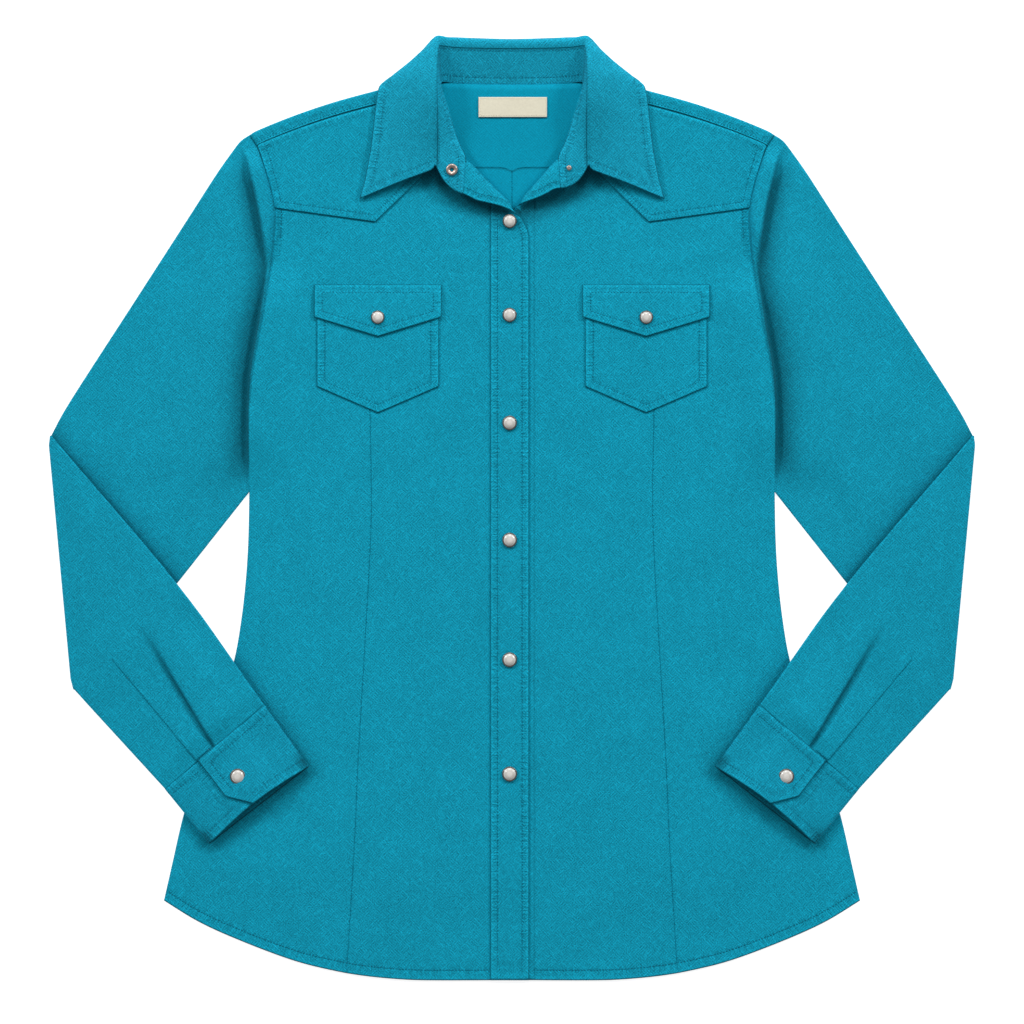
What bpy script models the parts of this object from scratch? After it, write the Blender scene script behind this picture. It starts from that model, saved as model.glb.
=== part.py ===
"""Western snap shirt, laid flat on its back with both sleeves folded in over the front.

X runs across the shirt, +Y from hem to collar, +Z up from the surface it lies on. The wearer's
left is at +X. Every piece that is cut and sewn on is one closed wall of cloth. Lengths are in
millimetres until a point goes into a mesh.
"""

import math

import bmesh
import bpy
from mathutils import Vector

MM = 0.001
WALL = 1.0  # cloth wall
BAND_WALL = 1.2  # cuffs
COLLAR_WALL = 1.4  # collar and stand, two cloths and a stiffener
GAP = 0.3  # between pieces at a seam
LAYER = WALL + 0.4  # from the middle of one cloth to the middle of the next on top

# Driving sizes
CENTRE_HEM = -377.8
FRONT_AIR = 2.0  # how far the front floats over the back
SLEEVE_AIR = 1.5
PLACKET_LEFT, PLACKET_RIGHT = -17.2, 13.6
STRIP_WIDTH = 11.0  # how far the back yoke comes over the shoulder
STRIP_SHARES = (0.012, 0.14, 0.29, 0.43, 0.57, 0.71, 0.85, 0.985)  # places along the shoulder

# Outlines of the half at +X, from the top down
SHOULDER = ((58.0, 348.0), (102.4, 336.4), (138.4, 326.8), (163.6, 318.8), (185.2, 310.8), (204.4, 302.8), (210.0, 299.4))
ARMHOLE = (
    (210.0, 299.4), (203.4, 288.7), (196.0, 265.2), (191.6, 247.3), (190.2, 233.0), (191.8, 209.0),
    (195.0, 187.6), (198.2, 167.0), (202.6, 142.2), (206.6, 121.0), (208.8, 105.2), (210.2, 80.0), (210.4, 14.8),
)
SIDE_SEAM = (
    (210.4, 14.8), (211.2, -25.0), (213.2, -57.0), (216.8, -89.0), (222.4, -121.0), (232.0, -153.0),
    (243.0, -185.0), (254.4, -217.0), (264.0, -249.0), (272.0, -284.0), (278.8, -311.6),
)
HEM = (
    (0.0, CENTRE_HEM), (60.0, -377.8), (87.2, -377.0), (118.4, -374.0), (145.6, -369.2),
    (176.8, -361.2), (218.4, -345.2), (251.2, -329.2), (278.8, -311.6),
)
FRONT_NECK = ((56.0, 336.5), (49.5, 317.0), (42.2, 291.5), (35.5, 277.5))
RIGHT_NECK_END = ((28.8, 270.6), (14.3, 256.0), (11.2, 253.0))  # under its placket
LEFT_NECK_END = ((31.6, 269.5), (24.0, 258.4), (18.1, 250.4), (17.5, 244.0))  # beside its placket
BACK_YOKE_SEAM = ((0.0, 272.4), (60.0, 273.0), (120.0, 271.0), (196.4, 267.0))
BACK_NECK = ((0.0, 337.6), (30.0, 338.0), (56.5, 339.6))

# The sleeve: shoulder tip to elbow, folded there, then down to the cuff
OVERARM = ((210.4, 299.0), (216.8, 294.4), (223.2, 286.4), (234.4, 270.4), (250.0, 246.4), (301.6, 166.4), (353.2, 86.4), (367.9, 57.0))
UNDERARM = ((210.9, 15.2), (268.0, -59.0), (350.8, -144.6))
ELBOW_TOP, ELBOW_FOOT = OVERARM[-1], UNDERARM[-1]
FOREARM_TOP = (ELBOW_TOP, (268.4, -60.2), (198.4, -157.6))
FOREARM_FOOT = (ELBOW_FOOT, (277.3, -224.1))
CUFF_SEAM = (FOREARM_TOP[-1], FOREARM_FOOT[-1])
CUFF_END = ((162.8, -206.8), (241.6, -268.0))
ARM_KNOTS = (0.0, 0.07, 0.15, 0.24, 0.34, 0.46, 0.58, 0.7, 0.8, 0.9, 1.0)  # where body and sleeve match


# ---------------------------------------------------------------- curves and fields

def mix(a, b, share):
    return a + (b - a) * share


def ease(value):
    """0 to 1, level at both ends."""
    t = min(1.0, max(0.0, value))
    return t * t * (3 - 2 * t)


def catmull(points, share):
    """A smooth curve through any points with even knots, at 0 to 1."""
    last = len(points) - 1
    at = min(max(share, 0.0), 1.0) * last
    i = min(int(at), last - 1)
    t = at - i
    before = points[i - 1] if i else points[0] * 2 - points[1]
    after = points[i + 2] if i + 2 <= last else points[last] * 2 - points[last - 1]
    a, b = points[i], points[i + 1]
    return 0.5 * (2 * a + (b - before) * t + (2 * before - 5 * a + 4 * b - after) * t ** 2 + (3 * a - before - 3 * b + after) * t ** 3)


class Path:
    """A line on the table, read by its share of length. A smooth one is rounded between its knots."""

    def __init__(self, knots, smooth=True):
        knots = [Vector(k) for k in knots]
        steps = 8 * (len(knots) - 1) if smooth and len(knots) > 2 else 0
        self.points = [catmull(knots, i / steps) for i in range(steps + 1)] if steps else knots
        self.run = [0.0]
        for a, b in zip(self.points, self.points[1:]):
            self.run.append(self.run[-1] + (b - a).length)

    def at(self, share):
        goal = share * self.run[-1]
        for i, end in enumerate(self.run[1:]):
            if goal <= end or i == len(self.run) - 2:
                step = end - self.run[i]
                return self.points[i].lerp(self.points[i + 1], (goal - self.run[i]) / step)

    def joined(self, other):
        return Path(self.points + other.points[1:], smooth=False)

    def share_of(self, x=None, y=None):
        """The share at which the line first crosses that x or y."""
        axis, goal = (0, x) if y is None else (1, y)
        for i, (a, b) in enumerate(zip(self.points, self.points[1:])):
            if min(a[axis], b[axis]) <= goal <= max(a[axis], b[axis]) and a[axis] != b[axis]:
                part = (goal - a[axis]) / (b[axis] - a[axis])
                return mix(self.run[i], self.run[i + 1], part) / self.run[-1]
        return 1.0

    def part(self, start, end, steps=16):
        return Path([self.at(mix(start, end, i / steps)) for i in range(steps + 1)], smooth=False)

    def moved(self, dx, dy):
        return Path([p + Vector((dx, dy)) for p in self.points], smooth=False)


SHOULDER_LINE, ARMHOLE_LINE, SIDE_LINE, HEM_LINE = Path(SHOULDER), Path(ARMHOLE), Path(SIDE_SEAM), Path(HEM)


def height_at(table, x):
    """y on a table of (x, y) knots."""
    for (xa, ya), (xb, yb) in zip(table, table[1:]):
        if x <= xb:
            return mix(ya, yb, (x - xa) / (xb - xa))
    return table[-1][1]


def side_at(y):
    """Half the body's width at a height."""
    edge = ARMHOLE + SIDE_SEAM[1:]
    for (xa, ya), (xb, yb) in zip(edge, edge[1:]):
        if y >= yb:
            return mix(xa, xb, min(1.0, (ya - y) / (ya - yb)))
    return edge[-1][0]


def fall_lift(x, y):
    """The back of the collar lies under the neck of the shirt and lifts every layer there."""
    return 1.8 * ease((174 - abs(x)) / 60) * ease((y - 268) / 60)


def front_air(x, y):
    """How far the front floats over the back: nothing at its seams, most in the middle, with soft drapes."""
    inside = side_at(y) - abs(x)
    middle = ease(inside / 110) * ease((y - height_at(HEM, abs(x))) / 110) * ease((262 - y) / 110)
    drapes = 1 + 0.16 * math.sin(x / 48 + y / 150)
    armhole_roll = 1.0 * ease((190 - y) / 70) * ease((y - 2) / 40) * ease(1 - inside / 45)
    return FRONT_AIR * middle * drapes + armhole_roll


def back_z(x, y):
    return fall_lift(x, y) + WALL / 2


def front_z(x, y):
    """Middle of the front panel's wall."""
    return fall_lift(x, y) + front_air(x, y) + LAYER + WALL / 2


def patch(top, bottom, start, end, across, down):
    """Rows of points on the table between four lines: top and bottom run across, start and end run down."""
    corners = top.at(0), top.at(1), bottom.at(0), bottom.at(1)
    rows = []
    for v in down:
        left, right = start.at(v), end.at(v)
        rows.append([
            top.at(u).lerp(bottom.at(u), v) + left.lerp(right, u)
            - corners[0].lerp(corners[1], u).lerp(corners[2].lerp(corners[3], u), v)
            for u in across
        ])
    return rows


def even(count):
    return [i / count for i in range(count + 1)]


def laid(rows, height):
    """Points on the table, raised to a height that depends on the place."""
    return [[Vector((p.x, p.y, height(p.x, p.y))) for p in row] for row in rows]


def mirrored(grid):
    return [[Vector((-p.x, p.y, p.z)) for p in row] for row in grid]


# ---------------------------------------------------------------- making solids

def finish_material(name, colour, roughness, metallic=0.0):
    material = bpy.data.materials.new(name)
    material.use_nodes = True
    shader = material.node_tree.nodes["Principled BSDF"]
    shader.inputs["Base Color"].default_value = (*colour, 1.0)
    shader.inputs["Roughness"].default_value = roughness
    shader.inputs["Metallic"].default_value = metallic
    return material


def add_object(name, bm, material):
    bmesh.ops.recalc_face_normals(bm, faces=bm.faces)
    mesh = bpy.data.meshes.new(name)
    bm.to_mesh(mesh)
    bm.free()
    mesh.materials.append(material)
    mesh.shade_smooth()
    obj = bpy.data.objects.new(name, mesh)
    bpy.context.scene.collection.objects.link(obj)
    return obj


def cloth(name, grid, material, thickness=WALL, tube=False, keep=None):
    """A wall of cloth whose middle runs through rows of points. A tube's rows close on themselves."""
    if tube:
        grid = [row + row[:1] for row in grid]
    rows, columns = len(grid), len(grid[0])
    bm = bmesh.new()
    bmesh.ops.create_grid(bm, x_segments=columns - 1, y_segments=rows - 1, size=0.5)
    place = {}
    for vertex in bm.verts:
        column = round((vertex.co.x + 0.5) * (columns - 1))
        row = round((vertex.co.y + 0.5) * (rows - 1))
        place[vertex] = (row, column)
        vertex.co = grid[row][column] * MM
    if keep:
        spare = [
            face for face in bm.faces
            if not keep(min(place[v][0] for v in face.verts), min(place[v][1] for v in face.verts))
        ]
        bmesh.ops.delete(bm, geom=spare, context="FACES")
    if tube:
        bmesh.ops.remove_doubles(bm, verts=bm.verts, dist=1e-6)
    obj = add_object(name, bm, material)
    wall = obj.modifiers.new("wall", "SOLIDIFY")
    wall.thickness = thickness * MM
    wall.offset = 0.0
    wall.use_even_offset = True
    wall.use_quality_normals = True
    return obj


# ---------------------------------------------------------------- body

def body_edge(start, below):
    """A panel's outer edge from a share of the armhole down to the hem, with rows where the sleeve has its knots."""
    edge = ARMHOLE_LINE.part(start, 1.0, 40).joined(SIDE_LINE)
    steps = [0.0] + [(s - start) * ARMHOLE_LINE.run[-1] / edge.run[-1] for s in ARM_KNOTS if s > start + 0.02]
    return edge, steps + [mix(steps[-1], 1.0, i / below) for i in range(1, below + 1)]


def make_fronts(material):
    """Each front runs from the shoulder seam to the hem. The right one ends under its placket, the left one beside it."""
    seam = [p - n * 5.0 for p, n in shoulder_frames(even(8))]
    seam[0] = Vector(FRONT_NECK[0])
    top = Path(seam, smooth=False)
    for name, end, edge, below in (("front_left", LEFT_NECK_END, 17.5, 13), ("front_right", RIGHT_NECK_END, 11.2, 9)):
        outer, steps = body_edge(0.018, below)
        neck = Path(FRONT_NECK + end)
        middle = neck.joined(Path((end[-1], (edge, 225.0), (edge, height_at(HEM, edge))), smooth=False))
        hem = HEM_LINE.part(HEM_LINE.share_of(x=edge), 1.0)
        grid = laid(patch(top, hem, middle, outer, even(9), steps), front_z)
        cloth(name, grid if name == "front_left" else mirrored(grid), material)


def make_backs(material):
    """Two back panels meet at the centre back seam and end at the yoke."""
    top = Path(BACK_YOKE_SEAM).moved(0, -GAP)
    middle = Path(((GAP / 2, BACK_YOKE_SEAM[0][1] - GAP), (GAP / 2, CENTRE_HEM)), smooth=False)
    for name, below in (("back_left", 12), ("back_right", 8)):
        outer, steps = body_edge(ARMHOLE_LINE.share_of(y=267.0 - GAP), below)
        grid = laid(patch(top, HEM_LINE, middle, outer, even(6), steps), back_z)
        for row in grid:
            row[0].x = GAP / 2
        cloth(name, grid if name == "back_left" else mirrored(grid), material)


def shoulder_frames(shares):
    """Points on the shoulder fold with the direction out of the shirt there."""
    frames = []
    for share in shares:
        a, b = SHOULDER_LINE.at(max(0.0, share - 0.03)), SHOULDER_LINE.at(min(1.0, share + 0.03))
        along = (b - a).normalized()
        frames.append((SHOULDER_LINE.at(share), Vector((-along.y, along.x))))
    return frames


def make_back_yoke(material):
    """The yoke covers the back of the shoulders, folds over them and is sewn down on the front."""
    seam, neck = Path(BACK_YOKE_SEAM), Path(BACK_NECK)
    fold_radius, centre_height = 1.3, 1.8
    neck_columns = 3
    half = []
    for i in range(neck_columns + 1):
        top = neck.at(i / neck_columns)
        low = seam.at(seam.share_of(x=top.x)) if i else seam.at(0)
        half.append([low.lerp(top, v) for v in even(5)] + [None] * 5)
    for point, out in shoulder_frames(STRIP_SHARES):
        inner = point - out * centre_height
        low = seam.at(0.285 + 0.715 * (point.x - 58) / 152)
        column = [low.lerp(inner, v) for v in even(5)]
        column += [(inner + out * fold_radius * math.cos(a), fold_radius * math.sin(a)) for a in (-0.79, 0.0, 0.79, 1.57)]
        column.append((point - out * (STRIP_WIDTH - GAP), fold_radius))
        half.append(column)

    def raised(entry):
        if entry is None:
            return None
        point, rise = entry if isinstance(entry, tuple) else (entry, -fold_radius)
        return Vector((point.x, point.y, fall_lift(point.x, point.y) + centre_height + rise))

    half = [[raised(entry) for entry in column] for column in half]
    for column in half:
        for r, point in enumerate(column):
            column[r] = point if point else column[r - 1] + Vector((0, 1, 0))
    columns = [mirrored([column])[0] for column in half[:0:-1]] + half
    grid = [[column[r] for column in columns] for r in range(len(columns[0]))]
    first_open, last_open = len(half) - 1 - neck_columns - 1, len(half) - 1 + neck_columns
    cloth("back_yoke", grid, material, keep=lambda r, c: r < 5 or not first_open <= c <= last_open)


def front_yoke_z(x, y):
    return front_z(x, y) + LAYER


def make_front_yokes(material):
    """Each front yoke is laid on its front, with one point, and stitched all round."""
    top = Path([p - n * (STRIP_WIDTH + 2.5 * GAP) for p, n in shoulder_frames(STRIP_SHARES)], smooth=False)
    armhole = ARMHOLE_LINE.part(ARMHOLE_LINE.share_of(y=top.at(1).y), ARMHOLE_LINE.share_of(y=240.8), 10)
    neck = Path(((top.at(0).x, top.at(0).y), (51.5, 313.0), (46.0, 291.0)))
    hem = Path((tuple(neck.at(1)), (109.4, 229.5), tuple(armhole.at(1))), smooth=False)
    point_share = hem.share_of(y=229.5)
    across = [point_share * i / 4 for i in range(4)] + [mix(point_share, 1, i / 4) for i in range(5)]
    grid = laid(patch(top, hem, neck, armhole, across, even(6)), front_yoke_z)
    cloth("front_yoke_left", grid, material)
    cloth("front_yoke_right", mirrored(grid), material)


# ---------------------------------------------------------------- plackets

# The last stretch of each placket rolls open to the side, from the first snap up to the neckband.
# Each row gives its seam edge, the crest of its roll and its free edge; heights count from the front.
RIGHT_TURN = (
    # seam x, y, up, crest x, y, up, free x, y, up
    (-17.2, 218.0, 1.4, -1.8, 218.0, 1.4, 13.6, 218.0, 1.4),
    (-17.2, 226.5, 1.4, -1.0, 228.5, 1.4, 11.0, 226.6, 1.4),
    (-17.2, 235.0, 1.4, -1.4, 237.6, 1.9, 6.6, 233.6, 2.6),
    (-17.2, 238.6, 1.4, -1.2, 241.2, 2.5, 2.6, 236.0, 3.6),
    (-17.2, 242.4, 1.4, -2.2, 245.0, 3.1, -1.6, 238.8, 4.7),
    (-17.2, 248.5, 1.4, -8.4, 251.2, 3.6, -9.6, 241.9, 5.6),
    (-18.2, 254.6, 1.4, -15.6, 258.2, 3.9, -19.6, 244.4, 6.3),
    (-23.0, 260.8, 2.0, -23.2, 265.9, 4.4, -28.4, 246.4, 6.9),
    (-29.6, 268.6, 2.8, -30.2, 273.2, 5.2, -34.0, 249.2, 7.4),
    (-35.2, 273.8, 3.4, -35.5, 278.6, 5.8, -38.0, 251.4, 7.6),
)
LEFT_TURN = (
    (17.2, 218.0, 0.0, 3.5, 218.0, 0.0, -10.2, 218.0, 0.0),
    (17.2, 226.5, 0.0, 4.6, 228.0, 0.0, -6.0, 230.5, 0.0),
    (17.2, 233.5, 0.0, 6.4, 237.6, 0.3, 1.2, 240.2, 0.7),
    (17.2, 241.5, 0.0, 8.4, 247.6, 2.2, 9.6, 244.7, 3.8),
    (17.2, 249.0, 0.0, 14.6, 255.2, 3.4, 18.6, 247.9, 5.4),
    (20.0, 256.4, 0.6, 21.6, 263.0, 4.0, 26.6, 251.2, 6.3),
    (29.0, 268.0, 2.6, 30.0, 272.6, 5.0, 33.4, 255.0, 7.2),
    (35.2, 274.2, 3.2, 36.0, 279.2, 5.6, 38.0, 256.2, 7.6),
)


def placket_grid(turn):
    """Rows from the hem to the neck: flat across, then rolled open."""
    def point(x, y, up):
        return Vector((x, y, front_z(x, min(y, 250.0)) + up))

    seam_x, low, free_x = turn[0][0], turn[0][2], turn[0][6]
    rows = []
    for i in range(15):
        y = mix(CENTRE_HEM, turn[0][1], i / 15)
        rows.append([point(mix(seam_x, free_x, c / 6), y if i else height_at(HEM, abs(seam_x)), low) for c in range(7)])
    for row in turn:
        seam, crest, free = (Vector(row[k:k + 3]) for k in (0, 3, 6))
        line = [seam, seam.lerp(crest, 0.5), seam.lerp(crest, 0.85), crest, crest.lerp(free, 0.14), crest.lerp(free, 0.5), free]
        ups = (seam.z, mix(seam.z, crest.z, 0.15), mix(seam.z, crest.z, 0.6), crest.z, mix(crest.z, free.z, 0.75), free.z, free.z)
        rows.append([point(p.x, p.y, up) for p, up in zip(line, ups)])
    return rows


def make_plackets(material):
    """The right placket lies over the left one down the front."""
    cloth("placket_right", placket_grid(RIGHT_TURN), material)
    cloth("placket_left", placket_grid(LEFT_TURN), material)


# ---------------------------------------------------------------- collar

# Stations from the centre back to the front end, with all points on the face that shows. The stand
# runs from the neck seam up to the collar seam, and the collar goes on over its crest and shoulder.
STATIONS = (
    # neck x, y, z, seam x, y, z, crest x, y, z, shoulder x, y, z, fall x, y, z, edge x, y, z
    (0.0, 338.2, 3.6, 0.0, 364.8, 6.8, 0.0, 372.4, 7.2, 0.0, 375.8, 3.9, 0.0, 372.6, 0.0, 0.0, 331.0, 0.0),
    (24.0, 338.6, 3.6, 26.0, 366.0, 6.9, 27.0, 373.0, 7.3, 28.0, 376.2, 4.0, 30.0, 373.0, 0.0, 38.0, 331.2, 0.0),
    (42.0, 339.4, 3.9, 45.0, 368.4, 7.3, 47.0, 373.8, 7.8, 49.0, 376.8, 4.2, 51.5, 373.2, 0.0, 70.0, 331.8, 0.0),
    (54.6, 341.0, 5.0, 56.2, 370.0, 8.8, 58.6, 374.6, 9.4, 61.0, 376.2, 5.2, 66.0, 369.6, 0.3, 88.0, 332.6, 0.0),
    (56.2, 340.2, 6.2, 58.2, 366.8, 12.4, 61.4, 372.2, 13.4, 66.8, 371.7, 8.0, 79.0, 359.4, 2.6, 98.0, 339.4, 0.0),
    (56.2, 336.2, 7.0, 59.3, 359.0, 16.6, 63.2, 363.6, 18.6, 71.6, 363.6, 13.0, 86.2, 353.8, 6.6, 104.0, 340.8, 3.8),
    (54.4, 330.0, 7.2, 59.6, 345.5, 20.6, 64.6, 347.0, 23.6, 73.4, 345.6, 18.4, 88.0, 343.6, 11.4, 107.4, 333.6, 8.0),
    (50.4, 317.5, 7.2, 59.6, 327.5, 21.4, 65.0, 327.6, 24.2, 73.4, 325.6, 18.8, 87.8, 321.4, 12.0, 110.2, 312.5, 7.6),
    (45.6, 302.0, 7.4, 59.6, 310.5, 17.8, 65.0, 310.0, 20.6, 73.4, 307.0, 16.4, 88.4, 301.6, 11.2, 112.6, 291.2, 7.2),
    (41.0, 290.0, 8.0, 59.6, 297.5, 14.2, 65.0, 296.0, 16.6, 73.6, 292.2, 14.0, 89.4, 286.2, 10.0, 115.2, 276.4, 6.8),
    (36.9, 280.2, 9.4, 59.6, 287.0, 11.6, 65.2, 285.0, 13.4, 74.0, 281.0, 11.8, 90.6, 273.8, 9.0, 117.8, 263.0, 6.4),
    (37.6, 266.0, 9.6, 59.8, 279.0, 10.6, 65.4, 277.4, 11.6, 74.4, 273.8, 10.6, 91.4, 267.0, 8.6, 119.3, 256.4, 6.2),
    (38.8, 251.0, 9.2, 60.0, 272.4, 9.8, 65.6, 270.2, 10.2, 74.6, 266.8, 9.8, 92.0, 260.4, 8.2, 120.8, 250.0, 6.0),
)
NECK_STEPS = 36
STAND_END_BOW = 3.4


def neck_band(columns, across):
    """A band round the neck from half stations: smooth both ways, and moved in from its shown face by half its wall."""
    lines = [[station[k] for station in columns] for k in range(len(columns[0]))]
    lines = [[Vector((-p.x, p.y, p.z)) for p in line[:0:-1]] + line for line in lines]
    rows = []
    for i in range(NECK_STEPS + 1):
        knots = [catmull(line, i / NECK_STEPS) for line in lines]
        rows.append([catmull(knots, u) if len(knots) > 2 else knots[0].lerp(knots[1], u) for u in across])
    middle = []
    for r, row in enumerate(rows):
        run = [b - a for a, b in zip(rows[max(0, r - 1)], rows[min(NECK_STEPS, r + 1)])]
        moved = []
        for c, point in enumerate(row):
            over = row[min(len(row) - 1, c + 1)] - row[max(0, c - 1)]
            inner = point - run[c].cross(over).normalized() * (COLLAR_WALL / 2)
            inner.z = max(inner.z, COLLAR_WALL / 2)
            moved.append(inner)
        middle.append(moved)
    return middle


def station_points(station):
    return [Vector(station[k:k + 3]) for k in range(0, 18, 3)]


def make_stand(material):
    """The band that the collar is sewn to, with a rounded end on each side."""
    columns = [station_points(station)[:2] for station in STATIONS]
    grid = neck_band(columns, even(3))
    for row, side in ((grid[0], -1), (grid[-1], 1)):
        for c, u in enumerate(even(3)):
            row[c] += Vector((side * 0.6, -1.0, 0)) * STAND_END_BOW * math.sin(math.pi * u)
    for row, share in ((grid[-1], 1.0), (grid[-2], 0.4)):
        for c, u in enumerate(even(3)):
            row[c].y += 4.4 * share * (1 - u)
    cloth("collar_stand", grid, material, COLLAR_WALL)


def make_collar(material):
    columns = []
    for station in STATIONS:
        neck, seam, *rest = station_points(station)
        up = (seam - neck).normalized()
        columns.append([seam + up * 0.5, seam + up * 3.0] + rest)
    grid = neck_band(columns, (0, 0.2, 0.3, 0.4, 0.5, 0.6, 0.7, 0.8, 0.9, 1))
    cloth("collar", grid, material, COLLAR_WALL)


def make_label(material):
    """A plain woven label inside the back of the neck."""
    wide, high, centre = 54.8, 16.0, Vector((0.6, 321.4))
    rows = [[centre + Vector(((u - 0.5) * wide, (v - 0.5) * high)) for u in even(4)] for v in even(2)]
    cloth("neck_label", laid(rows, lambda x, y: back_z(x, y) + LAYER), material)


# ---------------------------------------------------------------- pockets

POCKET_HALF, POCKET_TOP, POCKET_CORNER, POCKET_POINT = 48.9, 171.6, 97.8, 76.6
FLAP_HALF, FLAP_TOP, FLAP_CORNER, FLAP_POINT = 51.0, 179.4, 153.4, 137.7
POCKET_X = 107.4


def pocket_z(x, y):
    return front_z(x, y) + LAYER


def flap_z(x, y):
    """The flap is sewn to the front above the pocket, and lies over it, lifting at its free edge."""
    over = ease((174.8 - y) / 2.4)
    spring = 0.9 * ease((164 - y) / 24)
    return pocket_z(x, y) + (LAYER + 0.1) * over + spring


def pointed_rows(half, top_ys, corner, point, x):
    """Rows across a pocket or flap: level at the top, then easing to a pointed lower edge."""
    across = [-1, -0.66, -0.33, 0, 0.33, 0.66, 1]
    rows = [[Vector((x + a * half, y)) for a in across] for y in top_ys]
    for share in (0.4, 0.75, 1.0):
        rows.append([
            Vector((x + a * half, mix(top_ys[-1], mix(point, corner, abs(a)), share))) for a in across
        ])
    return rows


def make_pockets(material):
    pocket = laid(pointed_rows(POCKET_HALF, (POCKET_TOP, 150.0, 128.0), POCKET_CORNER, POCKET_POINT, POCKET_X), pocket_z)
    flap = laid(pointed_rows(FLAP_HALF, (FLAP_TOP, 174.8, 172.3), FLAP_CORNER, FLAP_POINT, POCKET_X), flap_z)
    for name, grid in (("pocket", pocket), ("pocket_flap", flap)):
        cloth(name + "_left", grid, material)
        cloth(name + "_right", mirrored(grid), material)


# ---------------------------------------------------------------- sleeves

FOLD_RUN = (Vector(ELBOW_FOOT) - Vector(ELBOW_TOP)).normalized()
FOLD_OUT = Vector((-FOLD_RUN.y, FOLD_RUN.x))
SLEEVE_EDGE = 2 * WALL + 0.6  # height of a pressed sleeve at its folds
PLEAT_HEAD, PLEAT_FOOT = Vector((294.6, -95.4)), Vector((238.4, -188.4))
PLACKET_SEAM_HEAD, PLACKET_SEAM_FOOT = Vector((323.8, -115.5)), Vector((251.9, -202.0))


def beyond(point, a, b):
    """Distance from the line through a and b, positive on its left."""
    run = (Vector(b) - Vector(a)).normalized()
    away = point - Vector(a)
    return run.x * away.y - run.y * away.x


def before_fold(p):
    return -(p - Vector(ELBOW_TOP)).dot(FOLD_OUT)


def sleeve_air(x, y):
    """The two layers of the upper sleeve lie apart in the middle and are pressed at the folds."""
    p = Vector((abs(x), y))
    over = beyond(p, OVERARM[-1], OVERARM[4])
    under = beyond(p, UNDERARM[0], UNDERARM[1])
    return SLEEVE_AIR * ease(over / 75) * ease(under / 75) * ease(before_fold(p) / 110)


def sleeve_head(x, y):
    """A soft tuck runs down the sleeve beside the armhole seam."""
    from_seam = abs(x) - side_at(y)
    along = ease((292 - y) / 30) * ease((y - 165) / 60)
    return 1.6 * along * (1 - ease((from_seam - 6) / 16))


def support(x, y):
    """Top of what lies under a forearm: the upper sleeve, the front, or the surface, with the cloth's own bridge over steps."""
    p = Vector((abs(x), y))
    under = max(-beyond(p, UNDERARM[0], UNDERARM[1]), -beyond(p, UNDERARM[1], UNDERARM[2]))
    sleeve = (SLEEVE_EDGE + sleeve_air(x, y)) * ease(1 - (under - 3) / 44)
    outside = abs(x) - side_at(y)
    body = (front_z(min(abs(x), side_at(y) - 1), y) + WALL / 2) * ease(1 - (outside - 3) / 44)
    return max(sleeve, body)


def forearm_height(x, y):
    """Thickness of the folded forearm: two layers, a little air, and the pleat that is sewn into the cuff."""
    p = Vector((abs(x), y))
    top = beyond(p, FOREARM_TOP[2], FOREARM_TOP[0])
    foot = -beyond(p, FOREARM_FOOT[1], FOREARM_FOOT[0])
    air = 1.1 * ease(top / 50) * ease(foot / 50) * ease(before_fold(p) / 60)
    run = (PLEAT_FOOT - PLEAT_HEAD).normalized()
    along = (p - PLEAT_HEAD).dot(run) / (PLEAT_FOOT - PLEAT_HEAD).length
    off = -beyond(p, PLEAT_HEAD, PLEAT_FOOT)
    pleat = 1.3 * ease(along / 0.8) * ease(off / 12 + 0.5) * (1 - ease((off - 6) / 34))
    return SLEEVE_EDGE + air + pleat


def forearm_base(x, y):
    """The forearm touches what is under it at the elbow, and lies a little looser farther on."""
    return support(x, y) + GAP + 0.6 * ease(before_fold(Vector((abs(x), y))) / 30)


def forearm_top(x, y):
    return forearm_base(x, y) + forearm_height(x, y)


def sleeve_loop(width):
    """Points round a flat sleeve: (share across, layer), where layer 0 is the back cloth and 1 the front."""
    radius = (SLEEVE_EDGE - WALL) / 2 / width
    arc = [(1 - math.cos(a), math.sin(a) / 2) for a in (0.0, 0.79)]
    over_edge = [(radius * inset, 0.5 + rise) for inset, rise in arc]
    loop = over_edge + [(mix(radius, 1 - radius, s), 1.0) for s in ARM_KNOTS]
    loop += [(1 - radius * inset, 0.5 + rise) for inset, rise in reversed(arc)]
    loop += [(1 - radius * arc[1][0], 0.5 - arc[1][1])]
    loop += [(mix(radius, 1 - radius, s), 0.0) for s in reversed(ARM_KNOTS)]
    loop += [(radius * arc[1][0], 0.5 - arc[1][1])]
    return loop


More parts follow.
